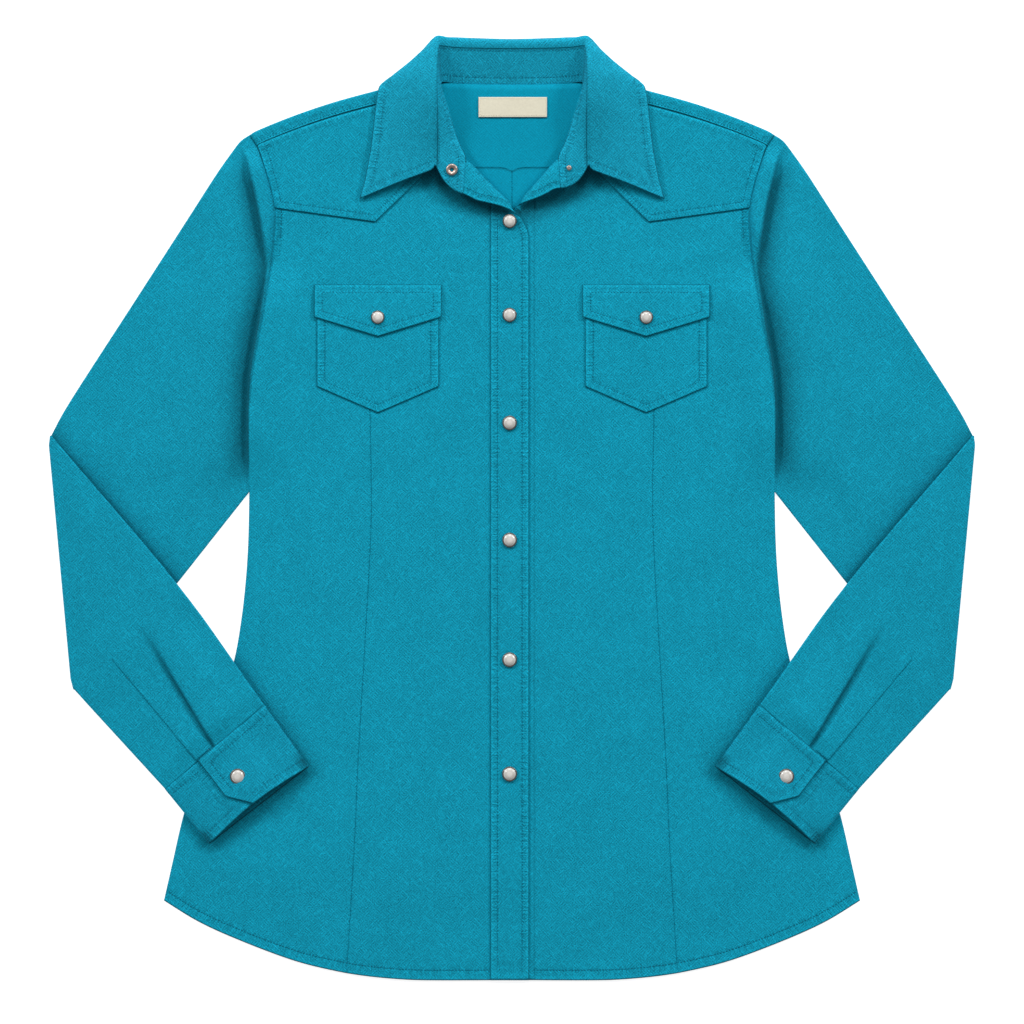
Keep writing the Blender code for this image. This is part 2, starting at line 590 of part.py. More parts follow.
def make_sleeves(material):
    """Each sleeve is one flat tube from the armhole to the cuff, folded over at the elbow."""
    armhole = ARMHOLE_LINE.moved(GAP + 0.1, 0)
    fold_line = Path((ELBOW_TOP, ELBOW_FOOT), smooth=False)
    overarm, underarm = Path(OVERARM), Path(UNDERARM, smooth=False)
    upper_edge, lower_edge = Path(FOREARM_TOP), Path(FOREARM_FOOT, smooth=False)
    cuff_seam = Path(CUFF_SEAM, smooth=False)
    fold_centre = SLEEVE_EDGE + GAP / 2

    def ring(line_at, width, place):
        return [place(line_at(share), layer) for share, layer in sleeve_loop(width)]

    def in_patch(top, bottom, start, end, v):
        return lambda u: patch(top, bottom, start, end, (u,), (v,))[0][0]

    def upper(p, layer):
        rise = sleeve_air(p.x, p.y) + sleeve_head(p.x, p.y)
        return Vector((p.x, p.y, WALL / 2 + layer * (SLEEVE_EDGE - WALL + rise)))

    def lower(p, layer):
        height = forearm_height(p.x, p.y) - WALL
        return Vector((p.x, p.y, forearm_base(p.x, p.y) + WALL / 2 + (1 - layer) * height))

    rings = []
    for v in (0.0, 0.05, 0.12, 0.22, 0.34, 0.46, 0.58, 0.7, 0.81, 0.9, 0.97):
        line = in_patch(armhole, fold_line, overarm, underarm, v)
        rings.append(ring(line, 230, upper))
    for step in range(6):
        angle = math.pi * step / 5

        def around(p, layer, angle=angle):
            radius = fold_centre - (WALL / 2 + layer * (SLEEVE_EDGE - WALL))
            out = p + FOLD_OUT * radius * math.sin(angle)
            return Vector((out.x, out.y, fold_centre - radius * math.cos(angle)))

        rings.append(ring(fold_line.at, 203, around))
    for v in (0.05, 0.14, 0.25, 0.36, 0.47, 0.58, 0.69, 0.8, 0.9, 1.0):
        line = in_patch(fold_line, cuff_seam, upper_edge, lower_edge, v)
        rings.append(ring(line, mix(203, 104, v), lower))
    cloth("sleeve_left", rings, material, tube=True)
    cloth("sleeve_right", mirrored(rings), material, tube=True)


def make_sleeve_plackets(material):
    """A strip over the slit of each sleeve, from the cuff up, with a pointed head."""
    run = (PLACKET_SEAM_HEAD - PLACKET_SEAM_FOOT).normalized()
    side = Vector((-run.y, run.x))
    wide, long = 16.5, 112.0
    rows = []
    for share, reach in ((0, 0), (0.16, 0), (0.32, 0), (0.48, 0), (0.64, 0), (0.8, 0), (0.93, 0), (1.0, 6.0)):
        start = PLACKET_SEAM_FOOT + run * (0.8 + share * (long - 7))
        rows.append([start + side * wide * u + run * reach * (1 - abs(2 * u - 1)) for u in even(4)])
    grid = laid(rows, lambda x, y: forearm_top(x, y) + 2 * GAP + WALL / 2)
    cloth("sleeve_placket_left", grid, material)
    cloth("sleeve_placket_right", mirrored(grid), material)


# ---------------------------------------------------------------- cuffs

OVERLAP_EDGE, MITRE_START, MITRE_EDGE, UNDERLAP_EDGE = 0.665, 0.66, 0.52, 0.40
CUFF_LAYER = BAND_WALL + 0.5


def cuff_point(a, b):
    """A place on the flat cuff: a runs down the seam, b from the seam to the open end."""
    seam = Vector(CUFF_SEAM[0]).lerp(Vector(CUFF_SEAM[1]), a)
    end = Vector(CUFF_END[0]).lerp(Vector(CUFF_END[1]), a)
    return seam.lerp(end, b)


def cuff_section(b):
    """The band's way round: from the end of its underlap, round the back, to the pointed overlap."""
    overlap = mix(OVERLAP_EDGE, MITRE_EDGE, max(0.0, (b - MITRE_START) / (1 - MITRE_START)))
    mouth = 1.6 * ease((b - 0.4) / 0.6)
    edge = 0.011

    def arch(a):
        return mouth * math.sin(math.pi * a)

    section = [(mix(UNDERLAP_EDGE, 1 - edge, t), 1.0, 1) for t in even(5)]
    section += [(1 - edge * 0.3, 0.85, 1), (1.0, 0.5, 0.5), (1 - edge * 0.3, 0.15, 0)]
    section += [(mix(1 - edge, edge, t), 0.0, 0) for t in even(6)]
    section += [(edge * 0.3, 0.15, 0), (0.0, 0.5, 0.5), (edge * 0.3, 0.85, 1)]
    section += [(mix(edge, overlap, t), 1.0 + ease((mix(edge, overlap, t) - 0.2) / 0.15), 1) for t in even(6)]
    return [(a, layer * CUFF_LAYER + share * arch(a)) for a, layer, share in section]


def make_cuffs(material):
    rows = []
    for b in (0.0, 0.33, 0.66, 0.83, 1.0):
        reach = mix(0.007, 1.0, b)
        row = []
        for a, rise in cuff_section(b):
            p = cuff_point(a, reach)
            row.append(Vector((p.x, p.y, forearm_base(p.x, p.y) + BAND_WALL / 2 + rise)))
        rows.append(row)
    cloth("cuff_left", rows, material, BAND_WALL)
    cloth("cuff_right", mirrored(rows), material, BAND_WALL)


# ---------------------------------------------------------------- snaps

def turned(name, profile, centre, material, sides=12):
    """A round piece from (radius, height) points, closed at both ends, standing at a point."""
    bm = bmesh.new()
    verts = [bm.verts.new((r * MM, 0, z * MM)) for r, z in profile]
    edges = [bm.edges.new(pair) for pair in zip(verts, verts[1:])]
    bmesh.ops.spin(bm, geom=verts + edges, cent=(0, 0, 0), axis=(0, 0, 1), angle=math.tau, steps=sides, use_merge=True)
    bmesh.ops.remove_doubles(bm, verts=bm.verts, dist=1e-6)
    bmesh.ops.translate(bm, verts=bm.verts, vec=Vector(centre) * MM)
    return add_object(name, bm, material)


def snap_cap(name, x, y, ground, diameter, material):
    """A pearl cap in its metal rim, domed, as high as a fifth of its width."""
    r = diameter / 2
    profile = ((0, 0), (r * 0.86, 0), (r, 0.5), (r * 0.94, 1.3), (r * 0.6, 2.2), (0, 2.5))
    turned(name, profile, (x, y, ground), material)


PLACKET_SNAPS = ((230.0, 11.2), (154.9, 11.4), (68.5, 11.7), (-25.2, 11.8), (-121.0, 11.9), (-212.4, 12.0))


def make_snaps(pearl, metal):
    x = -1.9
    for number, (y, diameter) in enumerate(PLACKET_SNAPS, 1):
        ground = front_z(x, y) + LAYER + WALL / 2 + GAP + (0.6 if number == 1 else 0)
        snap_cap(f"placket_snap_{number}", x, y, ground, diameter, pearl)
    cuff = cuff_point(0.492, 0.508)
    for side, sign in (("left", 1), ("right", -1)):
        y = 153.0
        snap_cap(f"pocket_snap_{side}", sign * POCKET_X, y, flap_z(POCKET_X, y) + WALL / 2 + GAP, 10.8, pearl)
        ground = forearm_base(cuff.x, cuff.y) + 2 * CUFF_LAYER + BAND_WALL + GAP + 0.8
        snap_cap(f"cuff_snap_{side}", sign * cuff.x, cuff.y, ground, 12.4, pearl)
    socket = ((1.5, 0), (4.4, 0), (4.7, 0.5), (4.1, 1.1), (2.9, 1.2), (2.2, 0.6), (1.5, 0.5))
    bm_ring(socket, "neck_socket_right", (-48.0, 270.6, 10.9), metal)
    stud = ((0, 0), (2.6, 0), (2.8, 0.4), (2.2, 0.9), (1.1, 1.1), (0, 1.1))
    turned("neck_stud_left", stud, (45.6, 272.0, 10.7), metal, 12)


def bm_ring(profile, name, centre, material):
    """A turned ring with an open middle."""
    bm = bmesh.new()
    verts = [bm.verts.new((r * MM, 0, z * MM)) for r, z in profile]
    edges = [bm.edges.new(pair) for pair in zip(verts, verts[1:] + verts[:1])]
    bmesh.ops.spin(bm, geom=verts + edges, cent=(0, 0, 0), axis=(0, 0, 1), angle=math.tau, steps=16, use_merge=True)
    bmesh.ops.translate(bm, verts=bm.verts, vec=Vector(centre) * MM)
    return add_object(name, bm, material)


def main():
    for obj in list(bpy.data.objects):
        bpy.data.objects.remove(obj)
    teal = finish_material("teal_twill", (0.008, 0.28, 0.42), 0.85)
    pearl = finish_material("pearl", (0.80, 0.78, 0.74), 0.25)
    metal = finish_material("snap_metal", (0.60, 0.55, 0.52), 0.3, 1.0)
    cream = finish_material("label_cream", (0.78, 0.72, 0.58), 0.8)
    make_backs(teal)
    make_back_yoke(teal)
    make_fronts(teal)
    make_front_yokes(teal)
    make_plackets(teal)
    make_stand(teal)
    make_collar(teal)
    make_label(cream)
    make_pockets(teal)
    make_sleeves(teal)
    make_sleeve_plackets(teal)
    make_cuffs(teal)
    make_snaps(pearl, metal)


main()
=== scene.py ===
"""The western snap shirt, finished: cloth, thread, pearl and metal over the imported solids.

The wearer's left is at +X, +Y runs from hem to collar and +Z is up from the surface. Lengths in the
tables are millimetres.
"""
import bisect
import math

import bmesh
import bpy
import numpy
from mathutils import Matrix, Vector, noise


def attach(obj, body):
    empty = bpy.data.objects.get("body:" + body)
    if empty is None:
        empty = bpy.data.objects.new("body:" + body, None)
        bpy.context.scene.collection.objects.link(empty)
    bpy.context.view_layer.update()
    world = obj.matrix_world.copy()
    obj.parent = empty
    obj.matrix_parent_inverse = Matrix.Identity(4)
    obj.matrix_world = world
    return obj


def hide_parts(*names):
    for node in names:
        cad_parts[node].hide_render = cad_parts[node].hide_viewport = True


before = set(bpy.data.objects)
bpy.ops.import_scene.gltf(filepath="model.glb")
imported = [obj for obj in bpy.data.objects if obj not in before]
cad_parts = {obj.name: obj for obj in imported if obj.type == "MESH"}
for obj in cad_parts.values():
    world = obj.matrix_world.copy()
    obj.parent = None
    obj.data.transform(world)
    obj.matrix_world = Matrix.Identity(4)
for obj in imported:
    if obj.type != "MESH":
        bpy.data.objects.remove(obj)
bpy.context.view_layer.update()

# ==================================================================== back panels
# Two panels of teal cotton twill, joined down the middle of the back, lie flat on the surface under
# everything else. Only their inside shows, in the open neck.
MM = 0.001  # the tables are in millimetres, the scene in metres
HANDS = ((1, "left"), (-1, "right"))  # the side of X that each hand is on
HEM = (
    (0.0, -377.8), (60.0, -377.8), (87.2, -377.0), (118.4, -374.0), (145.6, -369.2),
    (176.8, -361.2), (218.4, -345.6), (251.2, -330.8), (278.8, -314.0),
)
ARMHOLE = (
    (210.0, 299.4), (203.4, 288.7), (196.0, 265.2), (191.6, 247.3), (190.2, 233.0), (191.8, 209.0),
    (195.0, 187.6), (198.2, 167.0), (202.6, 142.2), (206.6, 121.0), (208.8, 105.2), (210.2, 80.0),
    (210.4, 14.8),
)
SIDE_SEAM = (
    (210.4, 14.8), (211.2, -25.0), (213.2, -57.0), (216.8, -89.0), (222.4, -121.0), (232.0, -153.0),
    (243.0, -185.0), (254.4, -217.0), (264.0, -249.0), (272.0, -284.0), (278.8, -314.0),
)
YOKE_SEAM = (
    (0.0, 270.2), (3.0, 271.6), (8.0, 273.0), (20.0, 273.2), (60.0, 273.2), (120.0, 271.0), (196.4, 267.0),
)
EDGE_CELLS = (0.0, 0.8, 2.2, 4.4, 5.6, 6.2, 6.9, 9.0, 12.5)  # fine cells beside a stitched edge
STITCH_IN = 6.2  # from a sewn edge to its stitches
CLOTH = 0.8  # thickness of one layer
BACK_LEVEL = 0.5  # middle of the back cloth


def mix(a, b, share):
    return a + (b - a) * share


def ease(value):
    t = min(1.0, max(0.0, value))
    return t * t * (3 - 2 * t)


def catmull(points, share):
    """A smooth line through points with even knots, read at 0 to 1."""
    last = len(points) - 1
    at = min(max(share, 0.0), 1.0) * last
    i = min(int(at), last - 1)
    t = at - i
    before = points[i - 1] if i else points[0] * 2 - points[1]
    after = points[i + 2] if i + 2 <= last else points[last] * 2 - points[last - 1]
    a, b = points[i], points[i + 1]
    bend, twist = 2 * before - 5 * a + 4 * b - after, 3 * a - before - 3 * b + after
    return 0.5 * (2 * a + (b - before) * t + bend * t ** 2 + twist * t ** 3)


class Line:
    """A cutting line, read by its share of length."""

    def __init__(self, knots, smooth=True):
        knots = [Vector(k) for k in knots]
        steps = 8 * (len(knots) - 1) if smooth and len(knots) > 2 else 0
        self.points = [catmull(knots, i / steps) for i in range(steps + 1)] if steps else knots
        self.run = [0.0]
        for a, b in zip(self.points, self.points[1:]):
            self.run.append(self.run[-1] + (b - a).length)
        self.length = self.run[-1]

    def at(self, share):
        goal = share * self.length
        i = min(max(bisect.bisect_left(self.run, goal) - 1, 0), len(self.run) - 2)
        return self.points[i].lerp(self.points[i + 1], (goal - self.run[i]) / (self.run[i + 1] - self.run[i]))

    def joined(self, other):
        return Line(self.points + other.points[1:], smooth=False)

    def share_of(self, x=None, y=None):
        axis, goal = (0, x) if y is None else (1, y)
        for i, (a, b) in enumerate(zip(self.points, self.points[1:])):
            if min(a[axis], b[axis]) <= goal <= max(a[axis], b[axis]) and a[axis] != b[axis]:
                return mix(self.run[i], self.run[i + 1], (goal - a[axis]) / (b[axis] - a[axis])) / self.length
        return 1.0

    def part(self, start, end, steps=24):
        return Line([self.at(mix(start, end, i / steps)) for i in range(steps + 1)], smooth=False)

    def moved(self, dx, dy):
        return Line([p + Vector((dx, dy)) for p in self.points], smooth=False)


def spaced(length, cell, start=(0.0,), end=(0.0,)):
    """Shares of a length: set distances in from both ends, and even cells between them."""
    head, tail = [d / length for d in start], [1 - d / length for d in reversed(end)]
    count = max(1, round((tail[0] - head[-1]) * length / cell))
    return head + [mix(head[-1], tail[0], i / count) for i in range(1, count)] + tail


def patch(top, bottom, start, end, across, down):
    """Rows of places between four cutting lines: top and bottom run across, start and end run down."""
    a, b, c, d = top.at(0), top.at(1), bottom.at(0), bottom.at(1)
    tops, bottoms = [top.at(u) for u in across], [bottom.at(u) for u in across]
    rows = []
    for v in down:
        left, right = start.at(v), end.at(v)
        rows.append([
            tops[i].lerp(bottoms[i], v) + left.lerp(right, u) - a.lerp(b, u).lerp(c.lerp(d, u), v)
            for i, u in enumerate(across)
        ])
    return rows


def height_at(table, x):
    for (xa, ya), (xb, yb) in zip(table, table[1:]):
        if x <= xb:
            return mix(ya, yb, (x - xa) / (xb - xa))
    return table[-1][1]


def side_at(y):
    """Half the body's width at a height."""
    edge = ARMHOLE + SIDE_SEAM[1:]
    for (xa, ya), (xb, yb) in zip(edge, edge[1:]):
        if y >= yb:
            return mix(xa, xb, min(1.0, (ya - y) / (ya - yb)))
    return edge[-1][0]


def fall_lift(x, y):
    """The back of the collar lies under the neck of the shirt and lifts every layer there."""
    return 1.8 * ease((174 - abs(x)) / 60) * ease((y - 268) / 60)


def drift(x, y, size, seed=0.0):
    """The slow unevenness of cloth smoothed out by hand."""
    return noise.noise(Vector((x / size, y / size, seed)))


def back_z(x, y):
    return fall_lift(x, y) + BACK_LEVEL


def laid(rows, height, side=1):
    return [[Vector((side * p.x, p.y, height(side * p.x, p.y))) for p in row] for row in rows]


def edge_of(rows, c):
    return [row[c] for row in rows]


FAR_FROM_SEAM = 60.0
FREE_OF_CORNER = 5.0  # past this far from a second edge, a seam draws its cloth in fully


def seam_marks(places, seams):
    """For each place, how far it is from the nearest sewn edge, how far along that edge, and how freely
    the edge draws it in, which is not at all where two edges meet. The first is counted so that an edge's
    stitches are at STITCH_IN, and a plain seam's own line is there too."""
    places = numpy.array([tuple(p) for p in places])
    away, second, along = (numpy.full(len(places), FAR_FROM_SEAM) for _ in range(3))
    for line, reach, *kind in seams:
        knots = numpy.array([tuple(p) for p in line])
        near, where, run = numpy.full(len(places), FAR_FROM_SEAM), numpy.zeros(len(places)), 0.0
        for a, b in zip(knots, knots[1:]):
            length = float(numpy.linalg.norm(b - a))
            if length < 1e-6:
                continue
            t = numpy.clip((places - a) @ (b - a) / length ** 2, 0, 1)
            gap = numpy.linalg.norm(places - (a + t[:, None] * (b - a)), axis=1) * (STITCH_IN / reach)
            closer = gap < near
            near[closer], where[closer] = gap[closer], run + t[closer] * length
            run += length
        near = near + STITCH_IN if kind else near
        closer = near < away
        second = numpy.where(closer, away, numpy.minimum(second, near))
        away, along = numpy.where(closer, near, away), numpy.where(closer, where, along)
    return away, along, numpy.clip((second - away) / FREE_OF_CORNER, 0, 1)


# how far from a sewn edge, and how far the cloth rises or sinks there
SEWN_EDGE = (
    (0, -0.14), (0.8, 0.06), (2.2, 0.24), (4.4, 0.19), (5.6, 0.02), (6.2, -0.12), (6.9, 0.0), (9.0, 0.05),
    (12.5, 0.0),
)


def object_from(bm, name, *finishes):
    """A smooth object from a mesh in the making."""
    mesh = bpy.data.meshes.new(name)
    bm.to_mesh(mesh)
    bm.free()
    mesh.shade_smooth()
    for finish in finishes:
        mesh.materials.append(finish)
    obj = bpy.data.objects.new(name, mesh)
    bpy.context.scene.collection.objects.link(obj)
    return obj


def cloth(name, rows, finish, wall=CLOTH, tube=False, seams=(), keep=None, pressed=1.0, painted_shade=None):
    """A shell of cloth through rows of places, puffed and puckered beside its seams. Painted shade darkens
    its
    colour where a given function says: in creases, along seams and under the edges of other pieces."""
    if tube:
        rows = [row + row[:1] for row in rows]
    high, wide = len(rows), len(rows[0])
    bm = bmesh.new()
    marks = [bm.verts.layers.float.new(label) for label in ("from_seam", "along_seam", "drawn_in")]
    # the layer that holds each place's painted shade, read by the twill materials
    deep = bm.verts.layers.float.new("painted_shade")
    cut = bm.loops.layers.uv.new("cut")
    bmesh.ops.create_grid(bm, x_segments=wide - 1, y_segments=high - 1, size=0.5)
    verts = list(bm.verts)
    spot = {}
    for vertex in verts:
        spot[vertex] = round((vertex.co.y + 0.5) * (high - 1)), round((vertex.co.x + 0.5) * (wide - 1))
    for vertex in verts:
        r, c = spot[vertex]
        vertex.co = rows[r][c]
    for vertex, *values in zip(verts, *seam_marks([v.co for v in verts], seams)):
        for mark, value in zip(marks, values):
            vertex[mark] = value
    if painted_shade:
        for vertex in verts:
            vertex[deep] = painted_shade(*spot[vertex])
    for face in bm.faces:
        for loop in face.loops:
            r, c = spot[loop.vert]
            loop[cut].uv = (rows[r][c].x * MM, rows[r][c].y * MM)
    if keep:
        spare = []
        for face in bm.faces:
            first_row, first_column = (min(spot[vertex][axis] for vertex in face.verts) for axis in (0, 1))
            if not keep(first_row, first_column):
                spare.append(face)
        bmesh.ops.delete(bm, geom=spare, context="FACES")
    if tube:
        bmesh.ops.remove_doubles(bm, verts=bm.verts, dist=1e-4)
    bmesh.ops.recalc_face_normals(bm, faces=bm.faces)
    if not tube and sum(f.normal.z * f.calc_area() for f in bm.faces) < 0:
        bmesh.ops.reverse_faces(bm, faces=bm.faces)
    bm.normal_update()
    steps, lifts = zip(*SEWN_EDGE)
    for vertex in bm.verts:
        gap, run, drawn = (vertex[mark] for mark in marks)
        if gap < steps[-1]:
            pucker = 1 + 1.2 * drawn * noise.noise(Vector((run / 5.0, gap / 30, len(name))))
            vertex.co += vertex.normal * float(numpy.interp(gap, steps, lifts)) * pucker * pressed
    bmesh.ops.scale(bm, vec=(MM, MM, MM), verts=bm.verts)
    obj = object_from(bm, name, finish)
    shell = obj.modifiers.new("cloth", "SOLIDIFY")
    shell.thickness = wall * MM
    shell.offset = 0.0
    return obj


def cut_from(obj, rows, tube=False):
    """Hang the piece on the root body and hide the solid that it replaces. Its cut width and length are
    worked out but not kept.
    """
    if tube:
        rows = [row + row[:1] for row in rows]
    wide = max(sum((b - a).length for a, b in zip(row, row[1:])) for row in rows)
    long = max(sum((b[c] - a[c]).length for a, b in zip(rows, rows[1:])) for c in range(len(rows[0])))
    for above, below in zip(rows, rows[1:]):
        for a, b, c, d in zip(above, above[1:], below[1:], below):
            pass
    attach(obj, "root")
    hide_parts(obj.name.removeprefix("cloth_"))


def node_group(name, inputs, outputs):
    tree = bpy.data.node_groups.new(name, "ShaderNodeTree")
    for label, kind, value in inputs:
        socket = tree.interface.new_socket(label, in_out="INPUT", socket_type=kind)
        if value is not None:
            socket.default_value = value
    for label, kind in outputs:
        tree.interface.new_socket(label, in_out="OUTPUT", socket_type=kind)
    return tree, tree.nodes.new("NodeGroupInput").outputs, tree.nodes.new("NodeGroupOutput").inputs


def feed(tree, node, inputs):
    """Set each input to a value, or link it from another socket."""
    for key, value in inputs.items():
        if isinstance(value, bpy.types.NodeSocket):
            tree.links.new(value, node.inputs[key])
        else:
            node.inputs[key].default_value = value


def wire(tree, kind, inputs, **settings):
    """A new node with its settings and its inputs. Returns its outputs."""
    made = tree.nodes.new(kind)
    for key, value in settings.items():
        setattr(made, key, value)
    feed(tree, made, inputs)
    return made.outputs


def written(tree, label):
    """What cloth() or spun() wrote on the mesh under this name."""
    return wire(tree, "ShaderNodeAttribute", {}, attribute_name=label)[2]


def mottled(tree, where, scale, detail, **more):
    return wire(tree, "ShaderNodeTexNoise", {"Vector": where, "Scale": scale, "Detail": detail, **more})[0]


def from_half(tree, value):
    """A texture's value about 0, for shades that go both ways."""
    return sums(tree, "SUBTRACT", value, 0.5)


def blend(tree, share, low, high):
    """A mix of two values or, of colours, their mix in colour."""
    if isinstance(low, tuple):
        return wire(tree, "ShaderNodeMix", {0: share, 6: (*low, 1), 7: (*high, 1)}, data_type="RGBA")[2]
    return wire(tree, "ShaderNodeMix", {0: share, 2: low, 3: high})[0]


def scaled(tree, colour, shade):
    return wire(tree, "ShaderNodeVectorMath", {0: colour, "Scale": shade}, operation="SCALE")[0]


def relief(tree, height, strength, depth):
    return wire(tree, "ShaderNodeBump", {"Height": height, "Strength": strength, "Distance": depth})[0]


def material(name):
    """A new material, its node tree and its shader."""
    finish = bpy.data.materials.new(name)
    finish.use_nodes = True
    return finish, finish.node_tree, finish.node_tree.nodes["Principled BSDF"]


def sums(tree, operation, a, b=0.0, c=None):
    inputs = {0: a, 1: b}
    if c is not None:
        inputs[2] = c
    return wire(tree, "ShaderNodeMath", inputs, operation=operation)[0]


def spread(tree, value, low, high, to_low, to_high):
    inputs = {0: value, 1: low, 2: high, 3: to_low, 4: to_high}
    return wire(tree, "ShaderNodeMapRange", inputs, interpolation_type="SMOOTHSTEP")[0]


def twill_weave():
    """Fine diagonal ribs that change hand in patches, short slubs along them, and a washed dye's mottle."""
    tree, given, out = node_group(
        "twill_weave",
        (
            ("Dye", "NodeSocketColor", (0.01, 0.27, 0.4, 1)), ("Rib", "NodeSocketFloat", 1.0),
            ("Slub", "NodeSocketFloat", 1.0), ("Mottle", "NodeSocketFloat", 1.0),
        ),
        (("Colour", "NodeSocketColor"), ("Roughness", "NodeSocketFloat"), ("Height", "NodeSocketFloat")),
    )
    where = wire(tree, "ShaderNodeUVMap", {}, uv_map="cut")[0]
    ribs, dashes, strands = [], [], []
    for quarter in (1, -1):
        diagonal = {"Vector": where, "Rotation": (0, 0, quarter * math.pi / 4)}
        turned = wire(tree, "ShaderNodeMapping", diagonal)[0]
        lines = {"Vector": turned, "Scale": 178.0, "Distortion": 1.8, "Detail": 2.0, "Detail Scale": 2.0}
        ribs.append(wire(tree, "ShaderNodeTexWave", lines, wave_type="BANDS", bands_direction="X")[1])
        stretched = {"Vector": turned, "Location": (quarter * 0.3, 0.1, 0), "Scale": (1100.0, 105.0, 1.0)}
        long = wire(tree, "ShaderNodeMapping", stretched)[0]
        fine = wire(tree, "ShaderNodeMapping", {"Vector": turned, "Scale": (1500.0, 300.0, 1.0)})[0]
        strands.append(mottled(tree, fine, 1.0, 0.0))
        dashes.append(spread(tree, mottled(tree, long, 1.0, 1.0, Distortion=0.8), 0.57, 0.66, 0.0, 1.0))
    hand = spread(tree, mottled(tree, where, 160.0, 1.0), 0.40, 0.60, 0.0, 1.0)
    rib, strand = (blend(tree, hand, *pair) for pair in (ribs, strands))
    dash = sums(tree, "MAXIMUM", dashes[0], dashes[1])
    grain = mottled(tree, where, 1150.0, 1.0, Roughness=0.8)
    curl = mottled(tree, where, 170.0, 1.0, Distortion=0.4)
    curl = spread(tree, sums(tree, "ABSOLUTE", from_half(tree, curl)), 0.002, 0.010, 1.0, 0.0)
    broken = mottled(tree, where, 110.0, 1.0)
    curl = sums(tree, "MULTIPLY", curl, spread(tree, broken, 0.46, 0.60, 0.0, 0.8))
    slub = sums(tree, "MULTIPLY", sums(tree, "MAXIMUM", dash, curl), given["Slub"])
    cloud = mottled(tree, where, 24.0, 4.0, Roughness=0.6)
    shade = 1.0
    for part, share in ((rib, 0.36), (grain, 1.75), (strand, 0.6)):
        shown = sums(tree, "MULTIPLY", from_half(tree, part), given["Rib"])
        shade = sums(tree, "MULTIPLY_ADD", shown, share, shade)
    shade = sums(tree, "MULTIPLY_ADD", slub, 0.25, shade)
    shown = sums(tree, "MULTIPLY", from_half(tree, cloud), given["Mottle"])
    shade = sums(tree, "MULTIPLY_ADD", shown, 0.26, shade)
    height = sums(tree, "MULTIPLY_ADD", rib, 0.06, sums(tree, "MULTIPLY", grain, 0.16))
    tree.links.new(scaled(tree, given["Dye"], shade), out["Colour"])
    tree.links.new(sums(tree, "MULTIPLY_ADD", grain, 0.12, 0.78), out["Roughness"])
    tree.links.new(sums(tree, "MULTIPLY_ADD", slub, 0.05, height), out["Height"])
    return tree


def seam_pucker():
    """Beside a seam the stitches draw the cloth into short folds. Their colour is painted lighter on top and
    darker between, with a painted shadow line at a sewn edge, a painted highlight just inside it, and painted
    shade along the stitch row.
    """
    tree, given, out = node_group(
        "seam_pucker",
        (
            ("From seam", "NodeSocketFloat", 60.0), ("Along seam", "NodeSocketFloat", 0.0),
            ("Drawn in", "NodeSocketFloat", 1.0),
        ),
        (("Shade", "NodeSocketFloat"), ("Height", "NodeSocketFloat")),
    )
    away = given["From seam"]
    run = {0: sums(tree, "MULTIPLY", given["Along seam"], 0.42), 1: sums(tree, "MULTIPLY", away, 0.06)}
    fold = mottled(tree, wire(tree, "ShaderNodeCombineXYZ", run)[0], 1.0, 2.0, Roughness=0.6)
    fold = spread(tree, fold, 0.36, 0.62, -1.0, 0.8)
    rises, fades = spread(tree, away, 0.6, 2.4, 0.1, 1.0), spread(tree, away, 6.4, 8.6, 1.0, 0.0)
    folded = sums(tree, "MULTIPLY", fold, sums(tree, "MULTIPLY", fades, rises))
    drawn = sums(tree, "MULTIPLY", folded, given["Drawn in"])
    # painted shadow line along the outermost 0.35 mm of a sewn edge, then a painted highlight out to about 3
    # mm
    rises, fades = spread(tree, away, 0.35, 0.95, -3.0, 1.0), spread(tree, away, 1.8, 3.2, 1.0, 0.0)
    rim = sums(tree, "MULTIPLY", fades, rises)
    # painted shade along the stitch row, and on a plain seam's own line
    row = spread(tree, sums(tree, "ABSOLUTE", sums(tree, "SUBTRACT", away, STITCH_IN)), 0.3, 1.1, 1.0, 0.0)
    # painted highlight on the crests of the puckers, painted shade between them
    shade = sums(tree, "MULTIPLY_ADD", drawn, 0.10, 1.0)
    shade = sums(tree, "MULTIPLY_ADD", rim, 0.16, shade)
    shade = sums(tree, "MULTIPLY_ADD", row, -0.09, shade)
    tree.links.new(shade, out["Shade"])
    tree.links.new(sums(tree, "MULTIPLY", drawn, 0.25), out["Height"])
    return tree


TWILL_WEAVE, SEAM_PUCKER = twill_weave(), seam_pucker()


def teal_twill(name, dye, rib=1.0, slub=1.0, mottle=1.0):
    """Piece-dyed cotton twill, in the tone that a part of the shirt has, with painted shade and highlight
    from its seams and the painted shade that cloth() writes on the mesh.
    """
    finish, tree, shader = material(name)
    dyed = {"Dye": (*dye, 1), "Rib": rib, "Slub": slub, "Mottle": mottle}
    weave = wire(tree, "ShaderNodeGroup", dyed, node_tree=TWILL_WEAVE)
    seams = {"From seam": "from_seam", "Along seam": "along_seam", "Drawn in": "drawn_in"}
    seams = {label: written(tree, source) for label, source in seams.items()}
    pucker = wire(tree, "ShaderNodeGroup", seams, node_tree=SEAM_PUCKER)
    # painted shade: what cloth() wrote for a place darkens the colour by up to 60 percent, in creases, along
    # seams and under other pieces
    painted_shade = sums(tree, "MULTIPLY_ADD", written(tree, "painted_shade"), -0.60, 1.0)
    feed(tree, shader, {
        "Base Color": scaled(tree, weave["Colour"], sums(tree, "MULTIPLY", pucker["Shade"], painted_shade)),
        "Roughness": weave["Roughness"],
        "Normal": relief(tree, sums(tree, "ADD", weave["Height"], pucker["Height"]), 0.8, 0.001),
        "Sheen Weight": 0.12, "Sheen Roughness": 0.5, "Sheen Tint": (0.1, 0.7, 0.9, 1),
        "Specular IOR Level": 0.06,
    })
    return finish


BODY_TWILL = teal_twill("body_twill", (0.0040, 0.268, 0.396))
INSIDE_TWILL = teal_twill("inside_twill", (0.0012, 0.272, 0.412), rib=0.4, slub=0.35, mottle=0.6)

